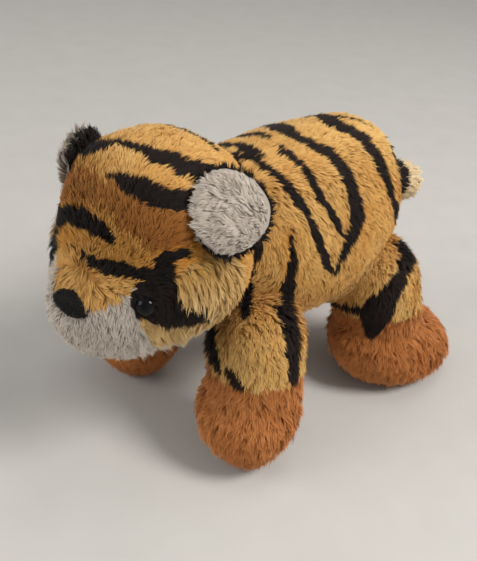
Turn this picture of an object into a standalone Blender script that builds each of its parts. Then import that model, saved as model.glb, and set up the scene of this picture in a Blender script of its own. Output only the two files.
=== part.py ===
"""Small plush tiger standing on four paws, built as a sewn soft toy.

Pile-fabric panels with their seams, loose stuffing, two-layer ears, bead eyes
held by washers, a sewn nose, four legs with paws of darker fabric, and a tail.
Metres, +Z up. The toy looks along -Y, its own left side is +X.
Shapes are laid out in units of W, the distance from a front paw to a rear paw.
"""

import math

import bmesh
import bpy
from mathutils import Euler, Matrix, Vector

# ---------------------------------------------------------------- dimensions
W = 0.070               # the toy's unit, about the distance from a front leg to a rear leg
PILE = 0.0028           # thickness of a panel, backing cloth plus pile
SEAM = 0.0005           # clearance along every seam
GAP = 0.0004            # clearance between a panel and the stuffing behind it
SWING = 0.0009          # clearance round a ball-shaped root that moves

# torso, in W
TORSO_FRONT, TORSO_REAR = -0.60, 0.612
TORSO_HALF_WIDTH = 0.415
TORSO_HALF_HEIGHT = 0.398
TORSO_AXIS_Z = 0.772
CHEST_ROUND = 0.72      # power of the sine that rounds the front end; smaller is blunter
RUMP_WIDTH_ROUND = 0.90     # the rump narrows early when seen from above
RUMP_HEIGHT_ROUND = 0.52    # but it stays tall
RUMP_RISE = 0.045       # how much the rump's end lies above the middle
BELLY_HALF_ANGLE = math.radians(36)

# head, in W; the head is turned a little to the toy's left
HEAD_CENTRE = Vector((0.0, -0.708, 0.900))
HEAD_TURN = math.radians(6.5)
SKULL = (Vector((0, 0, 0.020)), Vector((0.350, 0.332, 0.380)))
SKULL_POWER = 2.4      # a little fuller than an ellipsoid, at the temples and the crown's sides
JAW_SQUEEZE = 0.84     # the skull is shallower below its widest ring
MUZZLE = (Vector((0, -0.250, -0.185)), Vector((0.238, 0.205, 0.195)))
CHEEK = (Vector((0.165, -0.045, -0.090)), Vector((0.212, 0.235, 0.210)))
SOFTNESS = 0.10         # how wide the skull flows into muzzle and cheeks
GUSSET_HALF_WIDTH = 0.115
GUSSET_LOW = 0.018      # lower edge of the gusset, in a frame tilted by GUSSET_TILT
GUSSET_TILT = math.radians(12.6)
PATCH_CENTRE = Vector((0, -0.36, -0.27))    # the white muzzle patch is what this ball covers
PATCH_RADIUS = 0.262
CHIN_LINE = -0.300      # seam between the muzzle halves and the chin

# neck
NECK_PIVOT = Vector((0.0, -0.610, 0.870))
NECK_RADIUS = 0.085
HEAD_SPACE = 0.440      # radius of the hollow that the head rests in

# ears, in head coordinates
# side: centre, facing; the left ear lies back against the head, the right one stands up
EARS = {"left": (Vector((0.345, -0.014, 0.228)), Vector((0.78, -0.34, 0.52))),
        "right": (Vector((-0.352, -0.030, 0.215)), Vector((-0.87, -0.40, 0.0)))}
EAR_RADIUS = 0.145
EAR_HALF_THICKNESS = 0.045
EAR_CLEARANCE = 0.0011   # between the ear's base and the head, closed by the pile

# face trim, in head coordinates
EYE_DIRECTION = Vector((0.236, -0.300, -0.078))
EYE_RADIUS = 0.0027
EYE_SINK = 0.0019       # the bead's flat back lies this deep in the pile
EYE_RISE = 0.0011       # depth of the bead's centre
EYE_SHANK_RADIUS = 0.0009
EYE_SHANK_LENGTH = 0.0075
WASHER_RADIUS = 0.0034
WASHER_THICKNESS = 0.0009
WASHER_DEPTH = PILE + 0.0012
NOSE_AT = Vector((0.0, -0.4240, -0.118))
NOSE_SIZE = Vector((0.086, 0.033, 0.050))

# legs, in W
# pivot (x, y, z), ball (half width in X, radius in the Y-Z plane), paw centre (x, y), paw height, paw growth in x and y,
# how much the paw narrows towards its sole, and how far the sole lies behind the toe
FRONT_LEG = (Vector((0.345, -0.460, 0.475)), (0.190, 0.195), (0.410, -0.530), 0.410, (1.05, 0.88), 0.42, 0.030)
FRONT_LEG_RIGHT = (FRONT_LEG[0], FRONT_LEG[1], (0.320, -0.500), *FRONT_LEG[3:])     # stands further in and back
REAR_LEG = (Vector((0.345, 0.318, 0.472)), (0.192, 0.206), (0.394, 0.520), 0.395, (1.18, 1.29), 0.0, 0.0)
LEG_ROUND = 12                  # sides of a leg

# tail, in W
TAIL_ROOT = Vector((0.0, 0.612, 0.800))
TAIL_TIP = Vector((0.050, 0.808, 0.752))
TAIL_RADIUS = 0.093
TAIL_ROOM = 0.0016              # clearance round the tail's root

# ------------------------------------------------------------------- helpers
for old in list(bpy.data.objects):
    bpy.data.objects.remove(old, do_unlink=True)

scene = bpy.context.scene
toy = bpy.data.collections.new("plush_tiger")
guides = bpy.data.collections.new("cutters")
scene.collection.children.link(toy)
scene.collection.children.link(guides)


def fabric(name, colour, roughness=0.9, metallic=0.0):
    mat = bpy.data.materials.new(name)
    mat.use_nodes = True
    shader = mat.node_tree.nodes["Principled BSDF"]
    shader.inputs["Base Color"].default_value = (*colour, 1.0)
    shader.inputs["Roughness"].default_value = roughness
    shader.inputs["Metallic"].default_value = metallic
    mat.diffuse_color = (*colour, 1.0)
    return mat


GOLD = fabric("golden_pile", (0.78, 0.46, 0.13))
RUST = fabric("rust_pile", (0.60, 0.24, 0.08))
WHITE = fabric("white_pile", (0.80, 0.77, 0.73))
BLACK = fabric("black_pile", (0.02, 0.016, 0.014))
CREAM = fabric("belly_pile", (0.82, 0.60, 0.30))
FILL = fabric("polyester_fibre", (0.86, 0.86, 0.84), 0.95)
BEAD = fabric("eye_bead", (0.01, 0.01, 0.012), 0.08)
CLIP = fabric("eye_washer", (0.85, 0.85, 0.82), 0.35)
NOSE = fabric("nose_cloth", (0.015, 0.013, 0.013), 0.55)


def empty(name, at, parent=None, turn=None):
    e = bpy.data.objects.new(name, None)
    e.empty_display_size = 0.01
    toy.objects.link(e)
    e.parent = parent
    e.location = at
    if turn is not None:
        e.rotation_euler = turn
    return e


def add(name, bm, mat=None, parent=None, cutter=False):
    """An object from a bmesh, in the collection of the toy or of the cutters."""
    bmesh.ops.recalc_face_normals(bm, faces=bm.faces)
    mesh = bpy.data.meshes.new(name)
    bm.to_mesh(mesh)
    bm.free()
    mesh.shade_smooth()
    mesh.set_sharp_from_angle(angle=math.radians(50))
    obj = bpy.data.objects.new(name, mesh)
    (guides if cutter else toy).objects.link(obj)
    obj.parent = parent
    if cutter:
        obj.hide_render = True
        obj.display_type = "WIRE"
    else:
        mesh.materials.append(mat)
    return obj


def place(obj, matrix):
    """Moves a cutter's own points, so its scale stays 1."""
    obj.data.transform(matrix)
    return obj


def box(name, low, high, parent=None, turn=None):
    bm = bmesh.new()
    bmesh.ops.create_cube(bm, size=1.0)
    low, high = Vector(low), Vector(high)
    size, middle = high - low, (high + low) / 2
    for v in bm.verts:
        v.co = Vector((v.co.x * size.x, v.co.y * size.y, v.co.z * size.z)) + middle
    if turn is not None:
        bm.transform(turn)
    return add(name, bm, cutter=True, parent=parent)


def ball(name, centre, radii, parent=None, segments=24, rings=16):
    bm = bmesh.new()
    bmesh.ops.create_uvsphere(bm, u_segments=segments, v_segments=rings, radius=1.0)
    skew = Euler((0.21, 0.13, 0.37)).to_matrix()    # keeps its edges off the toy's own symmetry planes
    for v in bm.verts:
        p = skew @ v.co
        v.co = Vector(centre) + Vector([p[i] * radii[i] for i in range(3)])
    return add(name, bm, cutter=True, parent=parent)


def cone(bm, start, end, r0, r1, segments=16):
    """A closed cone or cylinder from start to end."""
    start, end = Vector(start), Vector(end)
    along = end - start
    turn = along.to_track_quat("Z", "Y").to_matrix().to_4x4()
    made = bmesh.ops.create_cone(bm, cap_ends=True, cap_tris=False, segments=segments,
                                 radius1=r0, radius2=r1, depth=along.length)
    bmesh.ops.transform(bm, matrix=Matrix.Translation((start + end) / 2) @ turn, verts=made["verts"])
    return made["verts"]


def rod(name, start, end, r0, r1, parent=None, segments=16, cutter=True, mat=None):
    bm = bmesh.new()
    cone(bm, start, end, r0, r1, segments)
    return add(name, bm, mat=mat, cutter=cutter, parent=parent)


def loft(rings, first, last, sides):
    """A closed skin through elliptical rings (centre, half axis, half axis) with a pole at each end."""
    bm = bmesh.new()
    rows = []
    for centre, u, v in rings:
        row = []
        for k in range(sides):
            a = 2 * math.pi * k / sides
            row.append(bm.verts.new(centre + u * math.cos(a) + v * math.sin(a)))
        rows.append(row)
    start, end = bm.verts.new(first), bm.verts.new(last)
    for k in range(sides):
        j = (k + 1) % sides
        bm.faces.new((start, rows[0][k], rows[0][j]))
        bm.faces.new((end, rows[-1][j], rows[-1][k]))
        for a, b in zip(rows, rows[1:]):
            bm.faces.new((a[k], b[k], b[j], a[j]))
    return bm


def boolean(obj, kind, cutter):
    m = obj.modifiers.new(cutter.name, "BOOLEAN")
    m.operation = kind
    m.solver = "EXACT"
    m.object = cutter
    return m


def panel(name, form, mat, keep=(), cut=(), parent=None):
    """A pile-fabric panel: the form's skin made PILE thick, inside the keep cutters and outside the cut cutters."""
    obj = add(name, form(), mat=mat, parent=parent)
    s = obj.modifiers.new("pile", "SOLIDIFY")
    s.thickness = PILE
    s.offset = -1.0
    for c in keep:
        boolean(obj, "INTERSECT", c)
    for c in cut:
        boolean(obj, "DIFFERENCE", c)
    return obj


def trim(bm, field):
    """Cuts an open skin along field = 0 and keeps the side where the field is positive."""
    value = {v: field(v.co) for v in bm.verts}
    for edge in list(bm.edges):
        a, b = edge.verts
        if value[a] * value[b] < 0:
            low, high = 0.0, 1.0
            for _ in range(30):
                mid = (low + high) / 2
                if field(a.co.lerp(b.co, mid)) * value[a] > 0:
                    low = mid
                else:
                    high = mid
            _, new = bmesh.utils.edge_split(edge, a, low)
            value[new] = 0.0
    for face in list(bm.faces):
        seam = [v for v in face.verts if value[v] == 0.0]
        if len(seam) == 2 and not any(seam[1] in e.verts for e in seam[0].link_edges):
            bmesh.utils.face_split(face, seam[0], seam[1])
    gone = [f for f in bm.faces if sum(value[v] for v in f.verts) < 0]
    bmesh.ops.delete(bm, geom=gone, context="FACES")


def head_panel(name, mat, fields, cut=(), parent=None):
    """A head panel: the head's skin inside every field, made PILE thick along the head's own normals."""
    bm = head_form()
    for field in fields:
        trim(bm, field)
    bmesh.ops.recalc_face_normals(bm, faces=bm.faces)
    inner = bmesh.ops.extrude_face_region(bm, geom=bm.faces[:])
    for v in inner["geom"]:
        if isinstance(v, bmesh.types.BMVert):
            v.co -= head_normal(v.co / W) * PILE
    bmesh.ops.triangulate(bm, faces=[f for f in bm.faces if len(f.verts) > 4])
    obj = add(name, bm, mat=mat, parent=parent)
    for c in cut:
        boolean(obj, "DIFFERENCE", c)
    return obj


def filling(name, form, cut=(), parent=None, extra=0.0):
    """The stuffing behind a skin: the same form, set back by the panel and the clearance."""
    obj = add(name, form(), mat=FILL, parent=parent)
    d = obj.modifiers.new("inset", "DISPLACE")
    d.direction = "NORMAL"
    d.mid_level = 0.0
    d.strength = -(PILE + GAP + extra)
    for c in cut:
        boolean(obj, "DIFFERENCE", c)
    return obj


def blend_step(t):
    t = min(max(t, 0.0), 1.0)
    return t * t * (3 - 2 * t)


# --------------------------------------------------------------------- forms
def torso_form():
    """Rounded barrel along Y: fuller at shoulders and rump, a little slack in the middle of the back."""
    n = 11
    middle, half = (TORSO_FRONT + TORSO_REAR) / 2, (TORSO_REAR - TORSO_FRONT) / 2
    rings = []
    for k in range(1, n):
        u = math.pi * k / n
        y = middle - half * math.cos(u)
        rear = max(-math.cos(u), 0.0)
        sway = 0.014 * math.cos(2 * math.pi * (y - middle) / (2 * half) * 1.3)
        a = TORSO_HALF_WIDTH * math.sin(u) ** (RUMP_WIDTH_ROUND if rear > 0 else CHEST_ROUND)
        b = TORSO_HALF_HEIGHT * math.sin(u) ** (RUMP_HEIGHT_ROUND if rear > 0 else CHEST_ROUND)
        z = TORSO_AXIS_Z - sway + RUMP_RISE * rear ** 2
        rings.append((Vector((0, y, z)) * W, Vector((a, 0, 0)) * W, Vector((0, 0, b)) * W))
    return loft(rings, Vector((0, TORSO_FRONT, TORSO_AXIS_Z)) * W,
                Vector((0, TORSO_REAR, TORSO_AXIS_Z + RUMP_RISE)) * W, 18)


def head_distance(p):
    """Smooth union of skull, muzzle and cheeks; negative inside, in W."""
    parts = []
    for centre, radii in (SKULL, MUZZLE, CHEEK,
                          (Vector((-CHEEK[0].x, CHEEK[0].y, CHEEK[0].z)), CHEEK[1])):
        q = p - centre
        if centre is SKULL[0] and q.z < 0:
            q.z /= JAW_SQUEEZE
        power = SKULL_POWER if centre is SKULL[0] else 2.0
        k = sum(abs(q[i] / radii[i]) ** power for i in range(3)) ** (1 / power)
        parts.append((k - 1) * min(radii))
    d = parts[0]
    for e in parts[1:]:
        h = min(max(0.5 + 0.5 * (e - d) / SOFTNESS, 0.0), 1.0)
        d = e * (1 - h) + d * h - SOFTNESS * h * (1 - h)
    return d


def head_reach(direction):
    """Distance from the head's centre to its surface along a direction, in W."""
    direction = direction.normalized()
    low, high = 0.0, 1.0
    for _ in range(40):
        mid = (low + high) / 2
        if head_distance(direction * mid) < 0:
            low = mid
        else:
            high = mid
    return low


def head_normal(p, h=0.002):
    """Outward direction of the head's surface at p."""
    return Vector([head_distance(p + Vector(e) * h) - head_distance(p - Vector(e) * h)
                   for e in ((1, 0, 0), (0, 1, 0), (0, 0, 1))]).normalized()


def head_form(grow=0.0, segments=20, rings=14):
    bm = bmesh.new()
    bmesh.ops.create_uvsphere(bm, u_segments=segments, v_segments=rings, radius=1.0)
    for v in bm.verts:
        d = v.co.normalized()
        v.co = d * (head_reach(d) * W + grow)
    return bm


def leg_form(side, pair):
    """Leg and paw as one skin: a ball at the hip or shoulder, a short column, and a wide flat-soled paw."""
    pivot, (ball_x, ball_yz), (foot_x, foot_y), paw_height, (grow_x, grow_y), taper, toe = pair
    top = Vector((pivot.x * side, pivot.y, pivot.z))
    sole = Vector((foot_x * side, foot_y - 0.030 + toe, 0.0))

    def form():
        rings = []
        for k in (1, 2, 3):
            u = math.pi / 2 * k / 3
            rings.append((top + Vector((0, 0, ball_yz * math.cos(u))),
                          Vector((ball_x * math.sin(u), 0, 0)), Vector((0, ball_yz * math.sin(u), 0))))
        # height, half width, half length and forward reach of the paw's rings
        for z, a, b, reach in ((0.33, 0.193, 0.212, 0.010), (0.26, 0.207, 0.236, 0.022),
                               (0.18, 0.218, 0.258, 0.030), (0.10, 0.212, 0.256, 0.034),
                               (0.04, 0.178, 0.220, 0.034), (0.010, 0.126, 0.166, 0.032), (0.0, 0.090, 0.122, 0.030)):
            t = blend_step((top.z - z) / top.z)
            low = blend_step((0.36 - z) / 0.16)
            narrow = 1 - taper * blend_step((0.27 - z) / 0.27)
            x = (pivot.x + (foot_x - pivot.x) * t) * side
            y = top.y + (foot_y - top.y) * t - reach + toe * blend_step((0.14 - z) / 0.14)
            a, b = a * (1 + (grow_x - 1) * low), b * (1 + (grow_y - 1) * low)
            a, b = a + (ball_x - 0.190) * (1 - low), b + (ball_yz - 0.205) * (1 - low)
            a, b = a * narrow, b * narrow
            rings.append((Vector((x, y, z)), Vector((a, 0, 0)), Vector((0, b, 0))))
        scaled = [(c * W, u * W, v * W) for c, u, v in rings]
        return loft(scaled, (top + Vector((0, 0, ball_yz))) * W, rings[-1][0] * W, LEG_ROUND)

    return form, top, sole, pair


def tail_form():
    """A short blunt tail: a ball at the root, a ball at the end."""
    along = (TAIL_TIP - TAIL_ROOT)
    length = along.length
    axis = along.normalized()
    side = axis.cross(Vector((0, 0, 1))).normalized()
    up = side.cross(axis).normalized()
    rings = []
    for u in (-math.pi / 3, -math.pi / 6):
        rings.append((TAIL_ROOT + axis * TAIL_RADIUS * math.sin(u), TAIL_RADIUS * math.cos(u)))
    rings.append((TAIL_ROOT, TAIL_RADIUS))
    rings.append((TAIL_ROOT + axis * length * 0.5, TAIL_RADIUS * 1.02))
    rings.append((TAIL_TIP, TAIL_RADIUS))
    for u in (math.pi / 6, math.pi / 3):
        rings.append((TAIL_TIP + axis * TAIL_RADIUS * math.sin(u), TAIL_RADIUS * math.cos(u)))
    return loft([(c * W, side * r * W, up * r * W) for c, r in rings],
                (TAIL_ROOT - axis * TAIL_RADIUS) * W, (TAIL_TIP + axis * TAIL_RADIUS) * W, 12)


# -------------------------------------------------------------- the toy's frame
# origin at the bottom centre of the whole toy: the rear of the tail and the tip of the nose set the middle in Y
nose_reach = HEAD_CENTRE.y + (NOSE_AT.y - NOSE_SIZE.y) * math.cos(HEAD_TURN)
tail_axis = (TAIL_TIP - TAIL_ROOT).normalized()
tail_reach = TAIL_TIP.y + TAIL_RADIUS
SHIFT = -(nose_reach + tail_reach) / 2 * W
root = empty("tiger_frame", (0, SHIFT, 0))
head_axis = empty("head_axis", NECK_PIVOT * W, root)
head = empty("head_frame", (HEAD_CENTRE - NECK_PIVOT) * W, head_axis, Euler((0, 0, HEAD_TURN)))

# ---------------------------------------------------------------------- torso
FAR = 1.6 * W
legs = {
    "front_left": leg_form(1, FRONT_LEG),
    "front_right": leg_form(-1, FRONT_LEG_RIGHT),
    "rear_left": leg_form(1, REAR_LEG),
    "rear_right": leg_form(-1, REAR_LEG),
}
sockets = []
for key, (form, top, sole, pair) in legs.items():
    r = (pair[1][0] * W + SWING, pair[1][1] * W + SWING, pair[1][1] * W + SWING)
    sockets.append(ball(f"socket_{key}", top * W, r, parent=root, segments=20, rings=14))
tail_socket = ball("socket_tail", TAIL_ROOT * W, [TAIL_RADIUS * W + TAIL_ROOM] * 3, parent=root)
head_space = ball("head_space", (HEAD_CENTRE + Vector((0, 0.012, 0))) * W, [HEAD_SPACE * W] * 3,
                  parent=root, segments=26, rings=18)


def wedge(name, half_angle, clearance, parent):
    """A wedge under the torso's axis, its edges along Y, cut out of the belly."""
    bm = bmesh.new()
    reach = FAR
    z = TORSO_AXIS_Z * W + clearance / math.sin(half_angle)
    x = reach * math.tan(half_angle)
    for y in (-FAR, FAR):
        for px, pz in ((0, z), (x, z - reach), (-x, z - reach)):
            bm.verts.new((px, y, pz))
    v = list(bm.verts)
    bm.faces.new((v[0], v[1], v[2]))
    bm.faces.new((v[5], v[4], v[3]))
    for i, j in ((0, 1), (1, 2), (2, 0)):
        bm.faces.new((v[i], v[i + 3], v[j + 3], v[j]))
    return add(name, bm, cutter=True, parent=parent)


belly_wedge = wedge("belly_wedge", BELLY_HALF_ANGLE, -SEAM / 2, root)
belly_room = wedge("belly_room", BELLY_HALF_ANGLE, SEAM / 2, root)
half_left = box("half_left", (SEAM / 2, -FAR, -FAR), (FAR, FAR, FAR), root)
half_right = box("half_right", (-FAR, -FAR, -FAR), (-SEAM / 2, FAR, FAR), root)

holes = [head_space, tail_socket]
panel("body_side_left", torso_form, GOLD, [half_left], [belly_room, sockets[0], sockets[2], *holes], root)
panel("body_side_right", torso_form, GOLD, [half_right], [belly_room, sockets[1], sockets[3], *holes], root)
panel("belly_panel", torso_form, CREAM, [belly_wedge], [*sockets, *holes], root)
filling("body_stuffing", torso_form, [*sockets, *holes], root)

# ----------------------------------------------------------------------- neck
# a firm plug of stuffing through the neck opening, round at the head's end
neck = bmesh.new()
bmesh.ops.create_uvsphere(neck, u_segments=14, v_segments=10, radius=1.0)
for v in neck.verts:
    p = v.co.copy()
    p.y *= 1.25
    if p.y > 0:
        p.y *= 1.9
    v.co = p * NECK_RADIUS * W
add("neck_stuffing", neck, mat=FILL, parent=head_axis)
neck_room = bmesh.new()
cone(neck_room, Vector((0, -0.02, 0)) * W, Vector((0, 0.45, 0)) * W, 0.115 * W, 0.245 * W, 24)
bmesh.ops.transform(neck_room, matrix=Matrix.Translation((NECK_PIVOT - HEAD_CENTRE) * W), verts=neck_room.verts)
neck_room = add("neck_room", neck_room, cutter=True, parent=None)
neck_ball = ball("neck_ball", (NECK_PIVOT - HEAD_CENTRE) * W, [(NECK_RADIUS * 1.25 + 0.022) * W] * 3)
for c in (neck_room, neck_ball):
    c.parent = head

# ----------------------------------------------------------------------- head


def gusset(p, grow):
    """Positive inside the strip over the crown and the snout's bridge; its lower edge is tilted."""
    height = p.z * math.cos(GUSSET_TILT) - p.y * math.sin(GUSSET_TILT)
    return min(GUSSET_HALF_WIDTH * W + grow - abs(p.x), height - GUSSET_LOW * W + grow)


def patch(p, grow):
    """Positive inside the white muzzle patch."""
    return PATCH_RADIUS * W + grow - (p - PATCH_CENTRE * W).length


half_seam = SEAM / 2
eyes = {}
for name, side in (("left", 1), ("right", -1)):
    d = Vector((EYE_DIRECTION.x * side, EYE_DIRECTION.y, EYE_DIRECTION.z)).normalized()
    surface = d * head_reach(d)
    d = head_normal(surface)
    surface *= W
    shank_hole = rod(f"eye_hole_{name}", surface, surface - d * 0.0125,
                     EYE_SHANK_RADIUS + 0.0003, EYE_SHANK_RADIUS + 0.0003, head, 12)
    seat = rod(f"eye_seat_{name}", surface + d * 0.006, surface - d * (EYE_SINK + 0.0004),
               EYE_RADIUS + 0.0004, EYE_RADIUS + 0.0004, head, 18)
    pocket = rod(f"washer_room_{name}", surface - d * (PILE - 0.0004), surface - d * (PILE + 0.0042),
                 WASHER_RADIUS + 0.0005, WASHER_RADIUS + 0.0005, head, 16)
    eyes[name] = (d, surface, shank_hole, seat, pocket)

for name, side in (("left", 1), ("right", -1)):
    head_panel(f"muzzle_{name}", WHITE, [lambda p: patch(p, -half_seam), lambda p: -gusset(p, half_seam),
                                         lambda p: p.z - CHIN_LINE * W - half_seam,
                                         lambda p: p.x * side - half_seam], [], head)
    head_panel(f"head_side_{name}", GOLD, [lambda p: -patch(p, half_seam), lambda p: -gusset(p, half_seam),
                                           lambda p: p.x * side - half_seam],
               [neck_room, eyes[name][3], eyes[name][2]], head)
head_panel("chin_panel", WHITE, [lambda p: patch(p, -half_seam), lambda p: CHIN_LINE * W - half_seam - p.z], [], head)
head_panel("head_gusset", GOLD, [lambda p: gusset(p, -half_seam)], [], head)
stuffing = head_form()
for v in stuffing.verts:
    v.co -= head_normal(v.co / W) * (PILE + GAP + 0.0005)
stuffing = add("head_stuffing", stuffing, mat=FILL, parent=head)
for c in (neck_room, neck_ball, *(eyes[n][k] for n in eyes for k in (2, 4))):
    boolean(stuffing, "DIFFERENCE", c)

# eyes: a bead seated in the pile, its shank through the cloth, held by a washer on the inside
for name, (d, surface, hole, seat, pocket) in eyes.items():
    bead = bmesh.new()
    bmesh.ops.create_uvsphere(bead, u_segments=14, v_segments=10, radius=EYE_RADIUS)
    cut = bmesh.ops.bisect_plane(bead, geom=bead.verts[:] + bead.edges[:] + bead.faces[:], dist=1e-7,
                                 plane_co=(0, 0, -(EYE_SINK - EYE_RISE)), plane_no=(0, 0, 1), clear_inner=True)
    bmesh.ops.edgeloop_fill(bead, edges=[e for e in cut["geom_cut"] if isinstance(e, bmesh.types.BMEdge)])
    turn = d.to_track_quat("Z", "Y").to_matrix().to_4x4()
    bead.transform(Matrix.Translation(surface - d * EYE_RISE) @ turn)
    bead = add(f"eye_{name}", bead, mat=BEAD, parent=head)
    shank = rod(f"eye_shank_{name}", surface - d * EYE_RISE, surface - d * EYE_SHANK_LENGTH,
                EYE_SHANK_RADIUS, EYE_SHANK_RADIUS, head, 10)
    boolean(bead, "UNION", shank)
    washer = rod(f"eye_washer_{name}", surface - d * WASHER_DEPTH, surface - d * (WASHER_DEPTH + WASHER_THICKNESS),
                 WASHER_RADIUS, WASHER_RADIUS, head, 18, cutter=False, mat=CLIP)
    boolean(washer, "DIFFERENCE", hole)

head_skin = add("head_skin", head_form(grow=0.0004), cutter=True, parent=head)
head_clear = add("head_clear", head_form(grow=EAR_CLEARANCE), cutter=True, parent=head)

# nose: a padded cloth lens sewn on over the muzzle's upper seam
nose = bmesh.new()
bmesh.ops.create_uvsphere(nose, u_segments=14, v_segments=10, radius=1.0)
for v in nose.verts:
    p = v.co
    spread = 1.0 + 0.25 * p.z
    v.co = (Vector((p.x * NOSE_SIZE.x * spread, p.y * NOSE_SIZE.y, p.z * NOSE_SIZE.z)) + NOSE_AT) * W
nose = add("nose", nose, mat=NOSE, parent=head)
boolean(nose, "DIFFERENCE", head_skin)

# ----------------------------------------------------------------------- ears
# two layers sewn round the rim, the base folded along the head; each turns about its base line
ear_hinges = {}
for name, (centre, facing) in EARS.items():
    facing = facing.normalized()
    outward = centre.normalized()
    down = -(outward - facing * outward.dot(facing)).normalized()
    across = down.cross(facing).normalized()
    reach = 0.0
    while head_distance(centre + down * reach) > 0 and reach < EAR_RADIUS:
        reach += 0.002
    axis = empty(f"ear_axis_{name}", (centre + down * reach) * W, head)
    axis.rotation_euler = Matrix((across, down, facing)).transposed().to_euler()
    ear_hinges[name] = (axis, across)
    for layer, mat, sign in (("front", WHITE, 1), ("back", BLACK, -1)):
        bm = bmesh.new()
        bmesh.ops.create_uvsphere(bm, u_segments=16, v_segments=8, radius=1.0)
        cut = bmesh.ops.bisect_plane(bm, geom=bm.verts[:] + bm.edges[:] + bm.faces[:], dist=1e-5,
                                     plane_co=(0, 0, 0.06 * sign), plane_no=(0, 0, sign), clear_inner=True)
        bmesh.ops.edgeloop_fill(bm, edges=[e for e in cut["geom_cut"] if isinstance(e, bmesh.types.BMEdge)])
        for v in bm.verts:
            p = v.co
            v.co = Vector((p.x * EAR_RADIUS, p.y * EAR_RADIUS - reach, p.z * EAR_HALF_THICKNESS)) * W
        ear = add(f"ear_{layer}_{name}", bm, mat=mat, parent=axis)
        boolean(ear, "DIFFERENCE", head_clear)

# ----------------------------------------------------------------------- legs
for key, (form, top, sole, pair) in legs.items():
    joint = empty(f"leg_axis_{key}", top * W, root)

    def local(form=form, top=top):
        bm = form()
        bmesh.ops.translate(bm, vec=-top * W, verts=bm.verts)
        return bm

    line = (pair[3] - pair[0].z) * W
    above = box(f"above_paw_{key}", (-FAR, -FAR, line + SEAM / 2), (FAR, FAR, FAR), joint)
    below = box(f"below_paw_{key}", (-FAR, -FAR, -FAR), (FAR, FAR, line - SEAM / 2), joint)
    panel(f"leg_sleeve_{key}", local, GOLD, [above], [], joint)
    panel(f"paw_cover_{key}", local, RUST, [below], [], joint)
    filling(f"leg_stuffing_{key}", local, [], joint)

# ----------------------------------------------------------------------- tail
tail_joint = empty("tail_axis", TAIL_ROOT * W, root)


def tail_local():
    bm = tail_form()
    bmesh.ops.translate(bm, vec=-TAIL_ROOT * W, verts=bm.verts)
    return bm


# the tail's sleeve is open at its root, where it is sewn on
tail_open = rod("tail_opening", -tail_axis * 0.2 * W, -tail_axis * 0.012 * W, 0.3 * W, 0.3 * W, tail_joint)
panel("tail_sleeve", tail_local, GOLD, [], [tail_open], tail_joint)
filling("tail_stuffing", tail_local, [], tail_joint)

print("paw soles at", [tuple(round(c, 5) for c in (s * W + Vector((0, SHIFT, 0)))) for _, _, s, _ in legs.values()])
bpy.context.view_layer.update()
for name, (axis, across) in ear_hinges.items():
    print("ear axis", name, [round(c, 5) for c in axis.matrix_world.translation],
          [round(c, 4) for c in axis.matrix_world.to_3x3() @ Vector((-1, 0, 0))])
print("head axis", [round(c, 5) for c in head_axis.matrix_world.translation])
print("tail axis", [round(c, 5) for c in tail_joint.matrix_world.translation])
print("leg axes at", [tuple(round(c, 5) for c in (t * W + Vector((0, SHIFT, 0)))) for _, t, _, _ in legs.values()])
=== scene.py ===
"""Looks of the small plush tiger: pile fabric as modelled tufts on lumpy skins, bead eyes, nose, stuffing.

Metres, +Z up, the toy looks along -Y and its own left is +X. Shapes and markings are laid out in W,
the distance from a front paw to a rear paw. Every panel is one mesh: its backing skin and its tufts.
"""
import math

import bmesh
import bpy
import numpy as np
from mathutils import Matrix, Vector


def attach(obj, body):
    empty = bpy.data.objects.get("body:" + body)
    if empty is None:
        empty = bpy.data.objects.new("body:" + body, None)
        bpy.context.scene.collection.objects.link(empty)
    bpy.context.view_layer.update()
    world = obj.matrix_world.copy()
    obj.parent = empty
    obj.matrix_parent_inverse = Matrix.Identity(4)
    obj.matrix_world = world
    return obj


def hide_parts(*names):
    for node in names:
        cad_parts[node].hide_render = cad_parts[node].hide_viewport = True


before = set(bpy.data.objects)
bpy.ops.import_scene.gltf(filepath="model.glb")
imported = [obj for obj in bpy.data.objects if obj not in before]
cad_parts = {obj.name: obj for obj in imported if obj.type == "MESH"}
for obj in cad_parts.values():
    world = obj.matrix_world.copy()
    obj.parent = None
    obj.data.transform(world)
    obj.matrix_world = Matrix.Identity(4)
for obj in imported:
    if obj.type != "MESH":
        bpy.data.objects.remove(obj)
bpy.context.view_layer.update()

# ------------------------------------------------------------------ dimensions
W = 0.070
MM = 0.001 / W                     # one millimetre in W
SHIFT = 0.0091372
HEAD_CENTRE = np.array([0.0, -0.708, 0.900])
HEAD_TURN = math.radians(6.5)
INSET = 0.0013                     # backing cloth below the outline of the pile
RNG = np.random.default_rng(20261)


# ----------------------------------------------------------------- small maths
def unit(v):
    return v / np.maximum(np.linalg.norm(v, axis=-1, keepdims=True), 1e-12)


def dot(a, b):
    return (a * b).sum(-1, keepdims=True)


def flat(v, n):
    """The part of v that lies in the surface."""
    return unit(v - dot(v, n) * n)


def smooth(a, b, x):
    t = np.clip((x - a) / (b - a), 0.0, 1.0)
    return t * t * (3 - 2 * t)


def lattice(i, j, k, seed):
    with np.errstate(over="ignore"):
        h = (i.astype(np.uint32) * np.uint32(374761393) + j.astype(np.uint32) * np.uint32(668265263)
             + k.astype(np.uint32) * np.uint32(2246822519) + np.uint32(seed * 7919 + 13))
        h = (h ^ (h >> np.uint32(13))) * np.uint32(1274126177)
        h = h ^ (h >> np.uint32(16))
    return h.astype(np.float64) / 2147483648.0 - 1.0


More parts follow.
